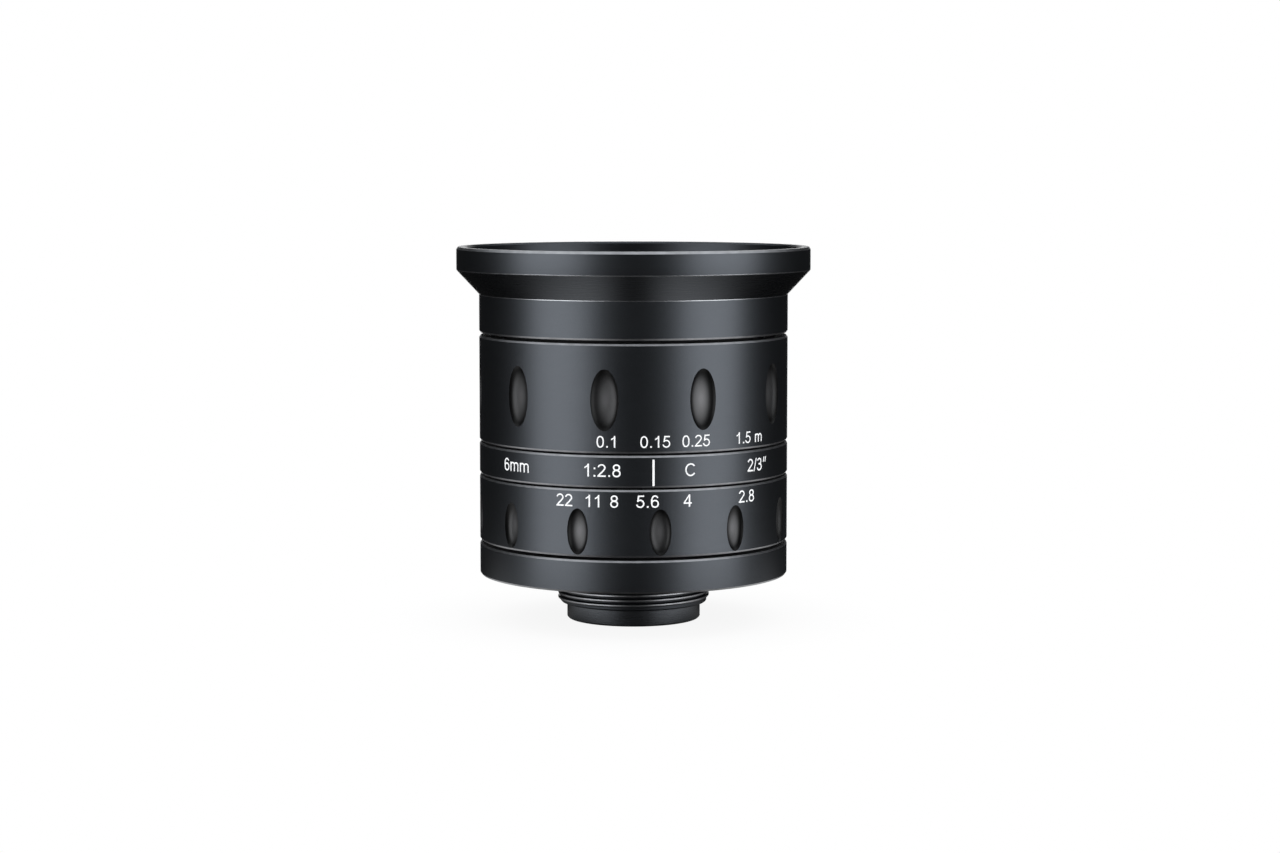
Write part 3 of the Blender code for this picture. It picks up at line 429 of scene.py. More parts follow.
def anodised_metal():
    """Black anodised aluminium with faint turning marks round the barrel and a fine grain."""
    made, tree, shader = new_material("black_anodised_finish", (0.056, 0.060, 0.066), 0.4, 1.0)
    grain = add_noise(tree, GRAIN, 3)
    mix_colours(tree, shader, grain, (0.051, 0.055, 0.060), (0.059, 0.063, 0.070))
    turning = add_noise(tree, TURNING, 4, TURNING_STRETCH)
    vary(tree, shader, turning, "Roughness", 0.38, 0.42)
    add_bump(tree, shader, turning.outputs["Fac"], 0.05, 0.00002)
    return made


def cool_grey(level):
    return level, 1.06 * level, 1.15 * level


def fine_metal_brightened(name, level):
    """The same metal where it is turned finer, on the cone of the hood and on the pilot; its lower roughness
    is real, its lighter base colour is painted light.
    """
    made, tree, shader = new_material(name, cool_grey(level), 0.28, 1.0)
    grain = add_noise(tree, GRAIN, 3)
    mix_colours(tree, shader, grain, cool_grey(0.95 * level), cool_grey(1.05 * level))
    turning = add_noise(tree, TURNING, 4, TURNING_STRETCH)
    vary(tree, shader, turning, "Roughness", 0.26, 0.30)
    return made


def dark_paint():
    """Matt black paint on the inner faces, with a fine speckle."""
    made, tree, shader = new_material("matt_black_finish", (0.014, 0.014, 0.015), 0.72)
    speckle = add_noise(tree, 6000, 4)
    mix_colours(tree, shader, speckle, (0.01, 0.01, 0.011), (0.02, 0.02, 0.021))
    add_bump(tree, shader, speckle.outputs["Fac"], 0.08, 0.00003)
    return made


def plain_metal(name, colour, roughness, scale):
    made, tree, shader = new_material(name, colour, roughness, 1.0)
    marks = add_noise(tree, scale, 5, (1, 1, 12))
    vary(tree, shader, marks, "Roughness", roughness * 0.85, roughness * 1.2)
    darker = tuple(value * 0.82 for value in colour)
    mix_colours(tree, shader, marks, darker, colour)
    return made


def coated_glass():
    """Clear glass with a thin coating that tints what it reflects."""
    made, tree, shader = new_material("coated_glass_finish", (0.97, 1.0, 0.98), 0.0)
    shader.inputs["Transmission Weight"].default_value = 1.0
    shader.inputs["IOR"].default_value = 1.52
    shader.inputs["Thin Film Thickness"].default_value = 330
    shader.inputs["Thin Film IOR"].default_value = 1.38
    smear = add_noise(tree, 70, 2)
    mix_colours(tree, shader, smear, (0.955, 0.985, 0.965), (0.975, 1.0, 0.985))
    return made


def white_ink():
    """White print that gives a little light of its own, as the photo's lettering stays white."""
    made, tree, shader = new_material("white_print_finish", (0.9, 0.9, 0.9), 0.55)
    speckle = add_noise(tree, 4000, 3)
    mix_colours(tree, shader, speckle, (0.9, 0.9, 0.9), (0.96, 0.96, 0.96))
    shader.inputs["Emission Color"].default_value = (1, 1, 1, 1)
    shader.inputs["Emission Strength"].default_value = 0.2
    return made


def edge_highlight_metal():
    """Lighter metal that paints highlight lines on the chamfers, creases and thread crests."""
    # Painted highlight: a base colour far lighter than the anodised metal; the noise only varies its tone at
    # random.
    made, tree, shader = new_material("painted_edge_highlight_finish", (0.34, 0.345, 0.355), 0.34, 1.0)
    edge_noise = add_noise(tree, 700, 3)
    mix_colours(tree, shader, edge_noise, (0.27, 0.275, 0.285), (0.36, 0.365, 0.38))
    return made


def in_dimple(form, bottom):
    """A test for the faces of the finger dimples in a ring."""
    count, first, width, height, lower_end = form
    pitch = 360 / count
    half = math.degrees(width / 2 / BARREL) + DIMPLE_MARGIN
    low = bottom + lower_end

    def chosen(face, out):
        angle = math.degrees(math.atan2(face.center.x, -face.center.y))
        away = (angle - first + pitch / 2) % pitch - pitch / 2
        inside = abs(away) < half and low < face.center.z < low + height
        return inside and BARREL - DIMPLE_SPAN[0] < out < BARREL - DIMPLE_SPAN[1]

    return chosen


def dimple_painted_shading(name, form, bottom):
    """Neutral satin black with painted shading: lighter in the middle of each dimple and dark at its walls.
    """
    count, first, width, height, lower_end = form
    made, tree, shader = new_material(name + "_dimple_painted_shading", (0.07, 0.07, 0.071), 0.44, 0.7)

    def calculated(operation, source, value):
        node = add_node(tree, "ShaderNodeMath", operation=operation)
        tree.links.new(source, node.inputs[0])
        node.inputs[1].default_value = value
        return node.outputs[0]

    coordinates = add_node(tree, "ShaderNodeTexCoord")
    parts = add_node(tree, "ShaderNodeSeparateXYZ")
    tree.links.new(coordinates.outputs["Object"], parts.inputs[0])
    angle = combined(tree, "ARCTAN2", parts.outputs["X"], calculated("MULTIPLY", parts.outputs["Y"], -1))
    pitch = math.tau / count
    turned = calculated("FLOORED_MODULO", calculated("ADD", angle, pitch / 2 - math.radians(first)), pitch)
    across = calculated("MULTIPLY", calculated("SUBTRACT", turned, pitch / 2), BARREL / (width / 2))
    middle = bottom + lower_end + height / 2
    along = calculated("DIVIDE", calculated("SUBTRACT", parts.outputs["Z"], middle), height / 2)
    squares = [combined(tree, "MULTIPLY", way, way) for way in (across, along)]
    from_middle = calculated("POWER", combined(tree, "ADD", *squares), 0.5)
    grain = calculated("MULTIPLY", add_noise(tree, GRAIN, 3).outputs["Fac"], 0.16)
    # Painted shade and highlight: the base colour runs from a light middle to dark walls.
    ramp = add_node(tree, "ShaderNodeValToRGB")
    ramp.color_ramp.elements[0].position = 0.2
    ramp.color_ramp.elements[0].color = (0.096, 0.095, 0.097, 1)
    ramp.color_ramp.elements[1].position = 0.95
    ramp.color_ramp.elements[1].color = (0.006, 0.006, 0.006, 1)
    tree.links.new(combined(tree, "ADD", from_middle, grain), ramp.inputs["Fac"])
    tree.links.new(ramp.outputs["Color"], shader.inputs["Base Color"])
    return made


def make_bands():
    """The two bands that don't turn."""
    rear_top = REAR[0].z + REAR_BAND
    rear_outline = softened(band(THREAD_RADIUS + THREAD_GAP, REAR[0].z, rear_top))
    spigot = [
        (SPIGOT_BORE, rear_top - SPIGOT_OVERLAP),
        (SPIGOT_RADIUS, rear_top - SPIGOT_OVERLAP),
        (SPIGOT_RADIUS, REAR[1].z),
        (SPIGOT_BORE, REAR[1].z),
    ]
    whole = revolve(rear_outline)
    inner = revolve(spigot)
    mesh = bpy.data.meshes.new("spigot")
    inner.to_mesh(mesh)
    inner.free()
    whole.from_mesh(mesh)
    rear = piece("rear_band", whole, METAL, "housing", "black_anodised", "rear_housing")
    paint_edge_highlights(rear, BARREL, REAR[0].z, rear_top)
    paint_groove_shade(rear, rear_top)

    index = piece(
        "index_band",
        revolve(softened(band(RING_BORE, INDEX[0].z, INDEX[1].z))),
        METAL,
        "housing",
        "black_anodised",
        "index_ring",
    )
    cut(index, screw_cutter((INDEX[0].z + INDEX[1].z) / 2))
    paint_edge_highlights(index, BARREL, INDEX[0].z, INDEX[1].z)
    paint_groove_shade(index, INDEX[0].z, INDEX[1].z)


def make_hood():
    """The hood with its cone and the light-trap steps inside."""
    cone_z = HOOD[0].z + HOOD_TUBE
    rim_z = cone_z + HOOD_CONE
    top = HOOD[1].z
    inner_top = HOOD_RADIUS - RIM_WALL
    outline = [
        (HOOD_BORE, HOOD[0].z),
        (BARREL, HOOD[0].z, EDGE_CHAMFER),
        (BARREL, cone_z - EDGE_LINE, CONE_CREASE),
        (BARREL, cone_z, CONE_CREASE),
        (HOOD_RADIUS, rim_z, EDGE_LINE),
        (HOOD_RADIUS, top, RIM_CHAMFER),
        (inner_top, top, EDGE_CHAMFER),
    ]
    radius = inner_top - BAFFLE_DRAFT
    z = top - RIM_DEPTH
    outline.append((radius, z))
    for _ in range(BAFFLES):
        radius -= BAFFLE_STEP
        outline.append((radius, z))
        radius -= BAFFLE_DRAFT
        z -= BAFFLE_PITCH
        outline.append((radius, z))
    outline.append((HOOD_BORE, z))
    hood = piece(
        "hood_shell", revolve(softened(outline)), METAL, "front_body", "black_anodised", "front_hood"
    )

    def on_cone(face, out):
        return out > BARREL and CONE_TILT[0] < face.normal.z < CONE_TILT[1]

    def under_cone(face, out):
        return -EDGE_LINE < face.center.z - cone_z < 0 and out > BARREL - CHAMFER

    def under_rim(face, out):
        return abs(face.center.z - rim_z) < EDGE_LINE and out > HOOD_RADIUS - EDGE_LINE

    paint_inside(hood, inner_top - BAFFLE_DRAFT - PAINT_MARGIN)
    # The cone's lighter metal is painted light.
    give_finish(hood, CONE_BRIGHTENED, on_cone)
    paint_edge_highlights(hood, BARREL, HOOD[0].z)
    paint_groove_shade(hood, HOOD[0].z)
    paint_edge_highlights(hood, HOOD_RADIUS, top, size=RIM_CHAMFER)
    # Painted highlight lines: the crease under the cone and the edge under the rim get the lighter edge
    # metal.
    give_finish(hood, EDGE_HIGHLIGHT, under_cone)
    give_finish(hood, EDGE_HIGHLIGHT, under_rim)


def paint_inside(shell, radius):
    """Gives the faces inside a radius that look inwards or up the matt black paint."""

    def chosen(face, out):
        inwards = face.normal.x * face.center.x + face.normal.y * face.center.y < 0
        return out < radius and (inwards or face.normal.z > LOOKS_UP)

    give_finish(shell, PAINT, chosen)


def make_grip_rings():
    """The focus ring and the iris ring with their finger dimples."""
    top = FOCUS[1].z
    land = FOCUS[0].z + GRIP_LAND
    outline = [
        (RING_BORE, FOCUS[0].z),
        (BARREL, FOCUS[0].z, EDGE_CHAMFER),
        (BARREL, top, EDGE_CHAMFER),
        (GRIP_UNDERCUT, top),
        (GRIP_UNDERCUT, land),
        (RING_BORE, land),
    ]
    focus = piece(
        "focus_grip", revolve(softened(outline)), METAL, "focus_body", "black_anodised", "focus_ring"
    )
    cut(focus, dimple_cutter(FOCUS_DIMPLES, FOCUS[0].z))
    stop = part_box("focus_stop_screw")
    cut(focus, screw_cutter((stop[0].z + stop[1].z) / 2))
    paint_edge_highlights(focus, BARREL, FOCUS[0].z, top)
    paint_groove_shade(focus, FOCUS[0].z, top)
    # The focus dimples get painted shading: light middles, dark walls.
    dimple = dimple_painted_shading("focus", FOCUS_DIMPLES, FOCUS[0].z)
    give_finish(focus, dimple, in_dimple(FOCUS_DIMPLES, FOCUS[0].z))

    outline = softened(band(RING_BORE, IRIS[0].z, IRIS[1].z))
    iris = piece("iris_grip", revolve(outline), METAL, "iris_body", "black_anodised", "iris_ring")
    cut(iris, dimple_cutter(IRIS_DIMPLES, IRIS[0].z))
    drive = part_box("iris_drive_screw")
    cut(iris, screw_cutter((drive[0].z + drive[1].z) / 2))
    paint_edge_highlights(iris, BARREL, IRIS[0].z, IRIS[1].z)
    paint_groove_shade(iris, IRIS[0].z, IRIS[1].z)
    # The iris dimples get painted shading: light middles, dark walls.
    dimple = dimple_painted_shading("iris", IRIS_DIMPLES, IRIS[0].z)
    give_finish(iris, dimple, in_dimple(IRIS_DIMPLES, IRIS[0].z))


def helix_ridge(mesh_data, bottom, top):
    """A blunt ridge that winds up the bush and runs out at both ends."""
    turns = (top - bottom) / THREAD_PITCH - 1
    root = THREAD_RADIUS - THREAD_DEPTH
    count = round(turns * RIDGE_STEPS)
    sections = []
    for step in range(count + 1):
        share = step / count
        fade = min(1, share * count / RUN_OUT_STEPS, (1 - share) * count / RUN_OUT_STEPS)
        z = bottom + THREAD_PITCH * 0.5 + THREAD_PITCH * turns * share
        crest = root + THREAD_DEPTH * fade
        angle = 360 * turns * share
        half = list(zip((root - RIDGE_SUNK, crest - CREST_ROUND, crest), RIDGE_SHARES))
        corners = [(radius, z - part * THREAD_PITCH) for radius, part in half]
        corners += [(radius, z + part * THREAD_PITCH) for radius, part in reversed(half)]
        sections.append([mesh_data.verts.new((*polar(radius, angle), height)) for radius, height in corners])
    sides = 2 * len(RIDGE_SHARES)
    for lower, upper in zip(sections, sections[1:]):
        for side in range(sides):
            after = (side + 1) % sides
            mesh_data.faces.new((lower[side], upper[side], upper[after], lower[after]))
    mesh_data.faces.new(list(reversed(sections[0])))
    mesh_data.faces.new(sections[-1])


def make_mount():
    """The threaded bush, and the pilot that goes on inside as the cell of the rear glass."""
    flange = REAR[0].z
    root = THREAD_RADIUS - THREAD_DEPTH
    bore = PILOT_RADIUS + BUSH_GAP
    foot = BUSH[0].z - THREAD_REACH
    outline = [
        (bore, foot),
        (root - BUSH_CHAMFER, foot),
        (root, foot + BUSH_CHAMFER),
        (root, flange + BUSH_NECK),
        (COLLAR_RADIUS, flange + COLLAR_FOOT),
        (COLLAR_RADIUS, BUSH[1].z),
        (bore, BUSH[1].z),
    ]
    bush = revolve(softened(outline))
    helix_ridge(bush, foot, flange + THREAD_PITCH)
    bmesh.ops.recalc_face_normals(bush, faces=bush.faces)
    bush = piece("thread_bush", bush, METAL, "housing", "black_anodised", "mount_thread_bush")

    def on_crest(face, out):
        outermost = out > THREAD_RADIUS - CREST_ROUND
        return outermost and CREST_TILT[0] < face.normal.z < CREST_TILT[1] and face.center.z < flange

    # Painted highlight lines on the thread crests.
    give_finish(bush, EDGE_HIGHLIGHT, on_crest)

    shoulder = BUSH[1].z + SHOULDER_GAP
    shoulder_top = shoulder + SHOULDER_HEIGHT
    outline = [
        (PILOT_BORE, CELL[0].z),
        (PILOT_RADIUS - CHAMFER, CELL[0].z),
        (PILOT_RADIUS, CELL[0].z + CHAMFER),
        (PILOT_RADIUS, shoulder),
        (SHOULDER_RADIUS, shoulder),
        (SHOULDER_RADIUS, shoulder_top),
        (CELL_WALL, shoulder_top),
        (CELL_WALL, CELL[1].z),
        (DOUBLET_BORE, CELL[1].z),
        (DOUBLET_BORE, DOUBLET_SEAT_Z),
        (LIP_BORE, DOUBLET_SEAT_Z),
        (LIP_BORE, LIP_Z),
        (PILOT_BORE, LIP_Z),
    ]
    # The pilot's lighter metal is painted light.
    cell = piece("pilot_cell", revolve(softened(outline)), PILOT_BRIGHTENED, "housing", "black_anodised", "rear_cell")
    paint_inside(cell, PILOT_BORE + CELL_PAINT_MARGIN)


def keeper(name, bounds, node, body, rise):
    """A screwed ring over a glass, with its two spanner slots."""
    outer = bounds[1].x
    inner = outer - KEEPER_WIDTH
    bottom = bounds[0].z
    outline = [(inner, bottom + rise), (outer, bottom), (outer, bounds[1].z), (inner, bounds[1].z)]
    ring = piece(name, revolve(softened(outline)), PAINT, body, "matt_black", node)
    slots = bmesh.new()
    depth = (bounds[1].z - bottom) / 3
    height = bounds[1].z if body == "front_body" else bottom
    size = Matrix.Diagonal((4 * outer, SPANNER_SLOT, 2 * depth, 1))
    bmesh.ops.create_cube(slots, size=1, matrix=Matrix.Translation((0, 0, height)) @ size)
    cut(ring, put_in_scene("cutter", slots))


def cap_points(rim, rim_z, curve, steps=24):
    """The arc of a glass from its rim to the axis."""
    size = abs(curve)
    widest = math.asin(rim / size)
    points = []
    for step in range(steps):
        angle = widest * (1 - step / steps)
        rise = size * (math.cos(angle) - math.cos(widest))
        points.append((size * math.sin(angle), rim_z + math.copysign(rise, curve)))
    points.append((0, rim_z + math.copysign(size * (1 - math.cos(widest)), curve)))
    return points


def lens(name, bounds, form, node, body):
    """A glass with a hair of room round it, so that it shares no face with its cell."""
    edge, front_curve, rear_curve, rim = form
    radius = bounds[1].x - GLASS_GAP
    seat = bounds[0].z + GLASS_GAP
    rear = cap_points(radius - rim, seat, rear_curve)
    outline = [*reversed(rear), (radius, seat), *cap_points(radius, bounds[0].z + edge, front_curve)]
    piece(name, revolve(outline, LENS_SEGMENTS), GLASS, body, "coated_glass", node)


def make_glasses():
    """The outermost glasses and their keepers; what lies between keeps its CAD form."""
    keeper("front_keeper", FRONT_KEEPER, "front_keeper_ring", "front_body", KEEPER_RISE)
    keeper("rear_keeper", REAR_KEEPER, "rear_keeper_ring", "housing", 0)
    lens("front_lens", FRONT_GLASS, FRONT_LENS, "front_glass", "front_body")
    lens("rear_lens", REAR_GLASS, REAR_LENS, "rear_outer_glass", "housing")


def arc(x, y, wide, high, first, last, square=2.0):
    """A curve for a stroke; more than 2 makes the ellipse squarer."""
    count = max(6, round(abs(last - first) / 12))
    points = []
    for step in range(count + 1):
        angle = math.radians(first + (last - first) * step / count)
        across = math.copysign(abs(math.cos(angle)) ** (2 / square), math.cos(angle))
        up = math.copysign(abs(math.sin(angle)) ** (2 / square), math.sin(angle))
        points.append((x + wide * across, y + high * up))
    return points


def box(left, foot, right, head):
    return [(left, foot), (right, foot), (right, head), (left, head)]


def arch(left):
    """One of the two arches of an m."""
    return [*arc(left + 0.1545, 0.36, 0.1545, 0.128, 180, 0), (left + 0.309, 0)]


# Each sign: its advance, its strokes and its filled shapes, in parts of the letter size
SIGNS = {
    "0": (0.556, [arc(0.275, 0.352, 0.189, 0.322, 0, 360, 2.3)], []),
    "1": (
        0.556,
        [],
        [
            box(0.285, 0, 0.373, 0.719),
            [(0.109, 0.457), (0.21, 0.505), (0.285, 0.562), (0.373, 0.719), (0.316, 0.719),
             (0.28, 0.657), (0.2, 0.585), (0.109, 0.542)],
        ],
    ),
    "2": (
        0.556,
        [[*arc(0.268, 0.513, 0.187, 0.163, 172, -32), (0.30, 0.275), (0.165, 0.155), (0.088, 0.045)]],
        [box(0.030, 0, 0.503, 0.085)],
    ),
    "3": (
        0.556,
        [arc(0.26, 0.525, 0.16, 0.152, 165, -90), arc(0.262, 0.2, 0.195, 0.172, 90, -168)],
        [box(0.19, 0.333, 0.262, 0.413)],
    ),
    "4": (
        0.556,
        [],
        [
            box(0.323, 0, 0.411, 0.716),
            box(0.012, 0.171, 0.508, 0.252),
            [(0.012, 0.252), (0.098, 0.252), (0.323, 0.575), (0.411, 0.716), (0.339, 0.716)],
        ],
    ),
    "5": (
        0.556,
        [[(0.478, 0.672), (0.165, 0.672), (0.118, 0.345)], arc(0.255, 0.232, 0.205, 0.202, 142, -168)],
        [],
    ),
    "6": (
        0.556,
        [arc(0.28, 0.222, 0.188, 0.192, 0, 360, 2.1), arc(0.285, 0.352, 0.2, 0.322, 38, 205, 2.2)],
        [],
    ),
    "8": (
        0.556,
        [arc(0.275, 0.532, 0.163, 0.143, 0, 360, 2.1), arc(0.275, 0.202, 0.19, 0.172, 0, 360, 2.1)],
        [],
    ),
    "m": (0.833, [arch(0.11), arch(0.419)], [box(0.066, 0, 0.154, 0.519)]),
    "C": (0.722, [arc(0.372, 0.358, 0.285, 0.326, 38, 324)], []),
    ".": (0.278, [], [box(0.091, 0, 0.191, 0.1)]),
    ":": (0.278, [], [box(0.091, 0, 0.191, 0.1), box(0.091, 0.419, 0.191, 0.519)]),
    "/": (0.278, [], [[(0, -0.012), (0.072, -0.012), (0.278, 0.728), (0.206, 0.728)]]),
    '"': (
        0.355,
        [],
        [
            [(0.07, 0.45), (0.135, 0.45), (0.225, 0.74), (0.13, 0.74)],
            [(0.25, 0.45), (0.315, 0.45), (0.405, 0.74), (0.31, 0.74)],
        ],
    ),
}


def stroke_quads(path):
    """The quads of a stroke of even width, mitred at its corners."""
    closed = math.dist(path[0], path[-1]) < 0.001
    points = [Vector(point) for point in (path[:-1] if closed else path)]
    count = len(points)
    left = []
    right = []
    for number, here in enumerate(points):
        before = points[number - 1] if closed or number else here - (points[1] - here)
        after = points[(number + 1) % count] if closed or number < count - 1 else here + (here - before)
        first = (here - before).normalized()
        last = (after - here).normalized()
        side = Vector((-first.y - last.y, first.x + last.x)).normalized()
        reach = STROKE / 2 / max(MITRE_LIMIT, side.dot(Vector((-first.y, first.x))))
        left.append(here + side * reach)
        right.append(here - side * reach)
    quads = []
    for number in range(count if closed else count - 1):
        after = (number + 1) % count
        quads.append([right[number], right[after], left[after], left[number]])
    return quads


def sign_triangles(sign):
    """A sign as triangles that don't overlap."""
    _, strokes, shapes = SIGNS[sign]
    polygons = [[Vector(point) for point in shape] for shape in shapes]
    for path in strokes:
        polygons += stroke_quads(path)
    points = []
    faces = []
    for polygon in polygons:
        faces.append(list(range(len(points), len(points) + len(polygon))))
        points += polygon
    joined = delaunay_2d_cdt(points, [], faces, 0, JOIN_DISTANCE, True)
    corners = joined[0]
    filled = [face for face, source in zip(joined[2], joined[5]) if source]
    return [[corners[number] for number in face] for face in filled]


def wrapped_text(text, degrees, foot, digit_height):
    """A text as a thin mesh on the barrel, its middle at an angle from -Y towards +X."""
    size = digit_height / DIGIT_SHARE
    triangles = []
    start = 0
    for sign in text:
        for triangle in sign_triangles(sign):
            triangles.append([(start + point.x, point.y) for point in triangle])
        start += SIGNS[sign][0]
    across = [point[0] for triangle in triangles for point in triangle]
    middle = (min(across) + max(across)) / 2
    made = bmesh.new()
    for triangle in triangles:
        corners = []
        for x, y in triangle:
            turn = degrees + math.degrees((x - middle) * size / BARREL)
            corners.append(made.verts.new((*polar(BARREL + PRINT_LIFT, turn - 90), foot + y * size)))
        made.faces.new(corners)
    bmesh.ops.remove_doubles(made, verts=made.verts, dist=JOIN_DISTANCE * size)
    bmesh.ops.recalc_face_normals(made, faces=made.faces)
    moved = bmesh.ops.extrude_face_region(made, geom=list(made.faces), use_keep_orig=True)["geom"]
    for item in moved:
        if isinstance(item, bmesh.types.BMVert):
            item.co.xy *= 1 + PRINT_THICKNESS / BARREL
    mesh = bpy.data.meshes.new("lettering")
    made.to_mesh(mesh)
    made.free()
    return mesh


def printed(name, texts, foot, digit_height, body, extra=None):
    """A row of texts on the barrel as one piece that rides a body."""
    whole = bmesh.new()
    for text, degrees in texts:
        mesh = wrapped_text(text, degrees, foot, digit_height)
        whole.from_mesh(mesh)
        bpy.data.meshes.remove(mesh)
    if extra:
        extra(whole)
    bmesh.ops.recalc_face_normals(whole, faces=whole.faces)
    piece(name, whole, INK, body, "white_print")


def index_line(whole):
    """The upright line that both scales are read against."""
    half = math.degrees(INDEX_LINE_WIDTH / 2 / BARREL)
    low = INDEX[0].z + INDEX_LINE_INSET[0]
    high = INDEX[1].z - INDEX_LINE_INSET[1]
    inner = BARREL + PRINT_LIFT
    outer = inner + PRINT_THICKNESS
    rings = []
    for z in (low, high):
        ring = []
        for radius, side in ((inner, -half), (outer, -half), (outer, half), (inner, half)):
            ring.append(whole.verts.new((*polar(radius, INDEX_ANGLE + side - 90), z)))
        rings.append(ring)
    for side in range(4):
        after = (side + 1) % 4
        whole.faces.new((rings[0][side], rings[0][after], rings[1][after], rings[1][side]))
    whole.faces.new(list(reversed(rings[0])))
    whole.faces.new(rings[1])


def make_printing():
    printed("focus_scale", FOCUS_SCALE, FOCUS_SCALE_Z, FOCUS_DIGIT, "focus_body")
    printed("iris_scale", IRIS_SCALE, IRIS_SCALE_Z, IRIS_DIGIT, "iris_body")
    printed("index_marks", INDEX_MARKS, INDEX_MARKS_Z, INDEX_DIGIT, "housing", index_line)


def finish_nodes():
    """Gives the CAD nodes that still show their finish; the inner tubes get the matt black paint, partly as
    real anti-glare paint and partly as painted shade that keeps the grooves dark.
    """
    finishes = {
        "black_anodised": METAL,
        "matt_black": PAINT,
        "coated_glass": GLASS,
        "blade_steel": plain_metal("blade_steel_finish", (0.05, 0.05, 0.053), 0.38, 900),
        "screw_steel": plain_metal("screw_steel_finish", (0.1, 0.1, 0.105), 0.32, 1500),
        "brass": plain_metal("brass_finish", (0.56, 0.40, 0.17), 0.3, 900),
    }
    for part in frame["record"]["subparts"]:
        node = frame["nodes"][part["node"]]
        node.data.materials.clear()
        # Painted shade: the inner tubes, the brass nut too, take the matt black paint.
        inner = part["node"] in GROOVE_SHADE_TUBES
        node.data.materials.append(PAINT if inner else finishes[part["material_slot"]])


def add_light(name, place, aim, size, power, colour=(1, 1, 1)):
    lamp = bpy.data.lights.new(name, "AREA")
    lamp.shape = "RECTANGLE"
    lamp.size, lamp.size_y = size
    lamp.energy = power
    lamp.color = colour
    holder = bpy.data.objects.new(name, lamp)
    holder.location = place
    holder.rotation_euler = (Vector(aim) - Vector(place)).to_track_quat("-Z", "Y").to_euler()
    bpy.context.collection.objects.link(holder)


def make_lights():
    for name, degrees in STRIP_ANGLES:
        x, y = polar(STRIP_DISTANCE, degrees - 90)
        add_light(name, (x, y, STRIP_HEIGHT), LENS_MIDDLE, STRIP_SIZE, STRIP_POWER, STRIP_COLOUR)
    add_light("back_strip", *BACK_STRIP)
    add_light("top_panel", *TOP_PANEL)


def add_node(tree, kind, **values):
    node = tree.nodes.new(kind)
    for name, value in values.items():
        setattr(node, name, value)
    return node


def smooth_step(tree, source, low, high, first=0.0, last=1.0):
    node = add_node(tree, "ShaderNodeMapRange", interpolation_type="SMOOTHSTEP")
    for name, value in (("From Min", low), ("From Max", high), ("To Min", first), ("To Max", last)):
        node.inputs[name].default_value = value
    tree.links.new(source, node.inputs["Value"])
    return node.outputs["Result"]


def combined(tree, operation, first, second):
    node = add_node(tree, "ShaderNodeMath", operation=operation)
    tree.links.new(first, node.inputs[0])
    tree.links.new(second, node.inputs[1])
    return node.outputs[0]


def seen_as_background(tree, to_camera, to_mirrors):
    """How far a ray sees the background: one share for the camera, one for metal and glass."""
    path = add_node(tree, "ShaderNodeLightPath")
    mirrors = combined(tree, "MAXIMUM", path.outputs["Is Glossy Ray"], path.outputs["Is Transmission Ray"])
    seen = path.outputs["Is Camera Ray"]
    if to_camera:
        seen = combined(tree, "MULTIPLY", seen, to_camera)
    if to_mirrors:
        mirrors = combined(tree, "MULTIPLY", mirrors, to_mirrors)
    return combined(tree, "MAXIMUM", seen, mirrors)


def floor_white():
    """Plain white for the camera, faint shadow near the mount; the lens sees it glow at its sides."""
    made, tree, shader = new_material("floor_white", (0.86, 0.86, 0.86), 0.9)
    shader.inputs["Specular IOR Level"].default_value = 0
    place = add_node(tree, "ShaderNodeNewGeometry")
    length = add_node(tree, "ShaderNodeVectorMath", operation="LENGTH")
    tree.links.new(place.outputs["Position"], length.inputs[0])
    distance = length.outputs["Value"]
    to_camera = smooth_step(tree, distance, *FLOOR_FADE)
    parts = add_node(tree, "ShaderNodeSeparateXYZ")
    tree.links.new(place.outputs["Position"], parts.inputs[0])
    aside = add_node(tree, "ShaderNodeMath", operation="ABSOLUTE")
    tree.links.new(parts.outputs["X"], aside.inputs[0])
    beside = smooth_step(tree, aside.outputs[0], *GLOW_ASIDE)
    slanted = add_node(tree, "ShaderNodeMath", operation="MULTIPLY_ADD")
    tree.links.new(aside.outputs[0], slanted.inputs[0])
    slanted.inputs[1].default_value = GLOW_SLANT
    tree.links.new(parts.outputs["Y"], slanted.inputs[2])
    in_front = smooth_step(tree, slanted.outputs[0], *GLOW_FRONT)
    near = smooth_step(tree, distance, *GLOW_NEAR)
    glow = add_node(tree, "ShaderNodeEmission")
    mix = add_node(tree, "ShaderNodeMixShader")
    path = add_node(tree, "ShaderNodeLightPath")
    lit = combined(tree, "MULTIPLY", combined(tree, "MULTIPLY", beside, in_front), near)
    tree.links.new(combined(tree, "MAXIMUM", lit, path.outputs["Is Camera Ray"]), glow.inputs["Strength"])
    tree.links.new(seen_as_background(tree, to_camera, None), mix.inputs["Fac"])
    tree.links.new(shader.outputs[0], mix.inputs[1])
    tree.links.new(glow.outputs[0], mix.inputs[2])
    tree.links.new(mix.outputs[0], tree.nodes["Material Output"].inputs["Surface"])
    made.cycles.emission_sampling = "NONE"
    return made


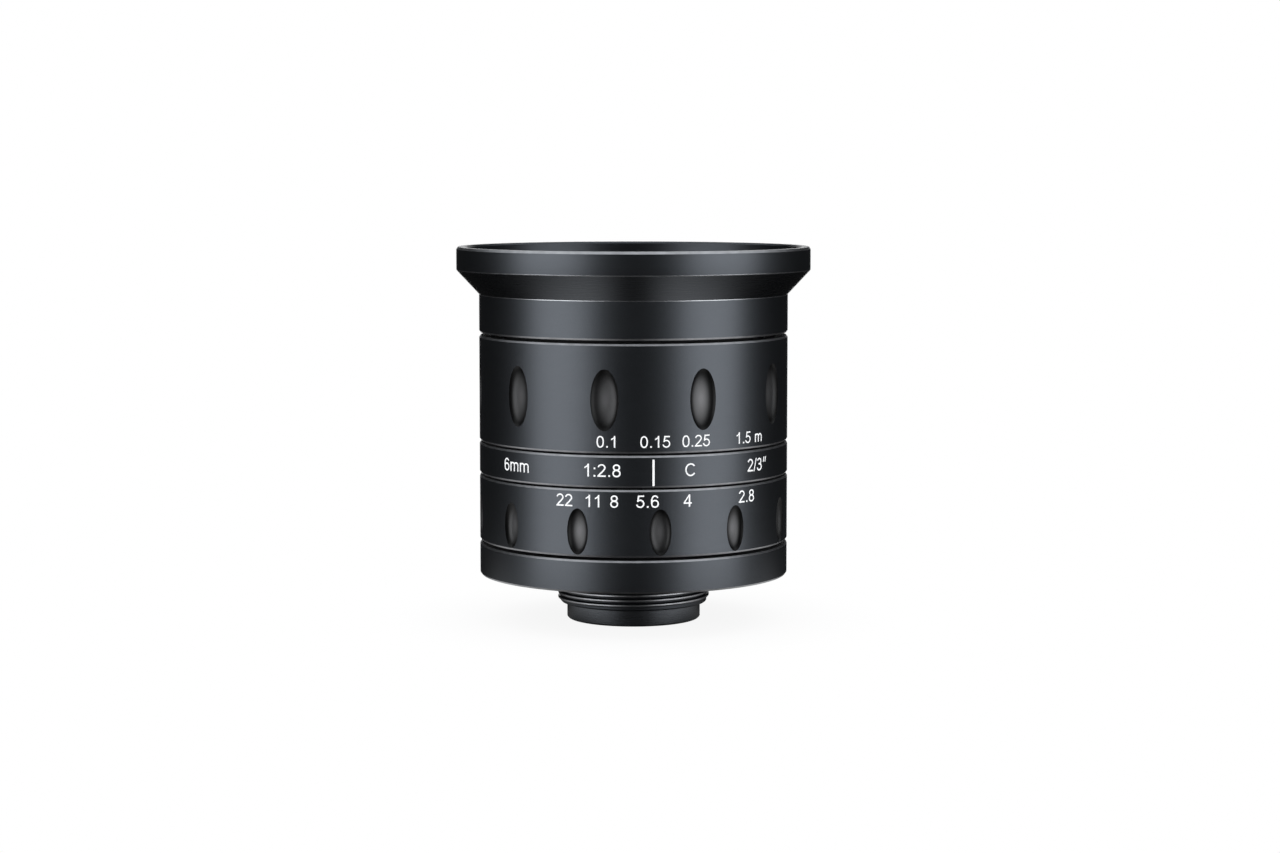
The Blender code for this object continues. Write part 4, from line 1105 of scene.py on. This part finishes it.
def make_floor():
    ground = bmesh.new()
    place = Matrix.Translation((0, 0, -FLOOR_DROP))
    bmesh.ops.create_circle(ground, cap_ends=True, segments=96, radius=FLOOR_RADIUS, matrix=place)
    floor = put_in_scene("floor", ground)
    floor.data.materials.append(floor_white())


def make_world():
    """A dark room with a white backdrop."""
    world = bpy.data.worlds.new("studio")
    bpy.context.scene.world = world
    world.use_nodes = True
    tree = world.node_tree
    tree.nodes.clear()
    output = add_node(tree, "ShaderNodeOutputWorld")
    mix = add_node(tree, "ShaderNodeMixShader")
    room = add_node(tree, "ShaderNodeBackground")
    room.inputs["Color"].default_value = (ROOM_LEVEL, ROOM_LEVEL, ROOM_LEVEL, 1)
    backdrop = add_node(tree, "ShaderNodeBackground")
    backdrop.inputs["Color"].default_value = (1, 1, 1, 1)
    direction = add_node(tree, "ShaderNodeTexCoord")
    parts = add_node(tree, "ShaderNodeSeparateXYZ")
    tree.links.new(direction.outputs["Generated"], parts.inputs[0])
    behind = smooth_step(tree, parts.outputs["Y"], *BACKDROP_FADE)
    tree.links.new(seen_as_background(tree, None, behind), mix.inputs["Fac"])
    tree.links.new(room.outputs[0], mix.inputs[1])
    tree.links.new(backdrop.outputs[0], mix.inputs[2])
    tree.links.new(mix.outputs[0], output.inputs["Surface"])


def make_camera():
    """The pinhole camera that was fitted to the photo."""
    camera = bpy.data.cameras.new("camera")
    camera.sensor_width = SENSOR
    camera.lens = FOCAL_PIXELS * SENSOR / PICTURE_WIDTH
    camera.clip_start = 0.01
    holder = bpy.data.objects.new("camera", camera)
    holder.location = CAMERA_PLACE
    holder.rotation_euler = (math.radians(90 - CAMERA_PITCH), 0, math.radians(CAMERA_YAW))
    bpy.context.collection.objects.link(holder)
    bpy.context.scene.camera = holder


METAL = anodised_metal()
# The cone and the pilot take lighter copies of the metal: painted light.
CONE_BRIGHTENED = fine_metal_brightened("cone_brightened_finish", 0.088)
PILOT_BRIGHTENED = fine_metal_brightened("pilot_brightened_finish", 0.14)
EDGE_HIGHLIGHT = edge_highlight_metal()
PAINT = dark_paint()
GLASS = coated_glass()
INK = white_ink()

finish_nodes()
make_bands()
make_hood()
make_grip_rings()
make_mount()
make_glasses()
make_printing()
make_lights()
make_floor()
make_world()
make_camera()
bpy.context.scene.view_settings.view_transform = "Standard"
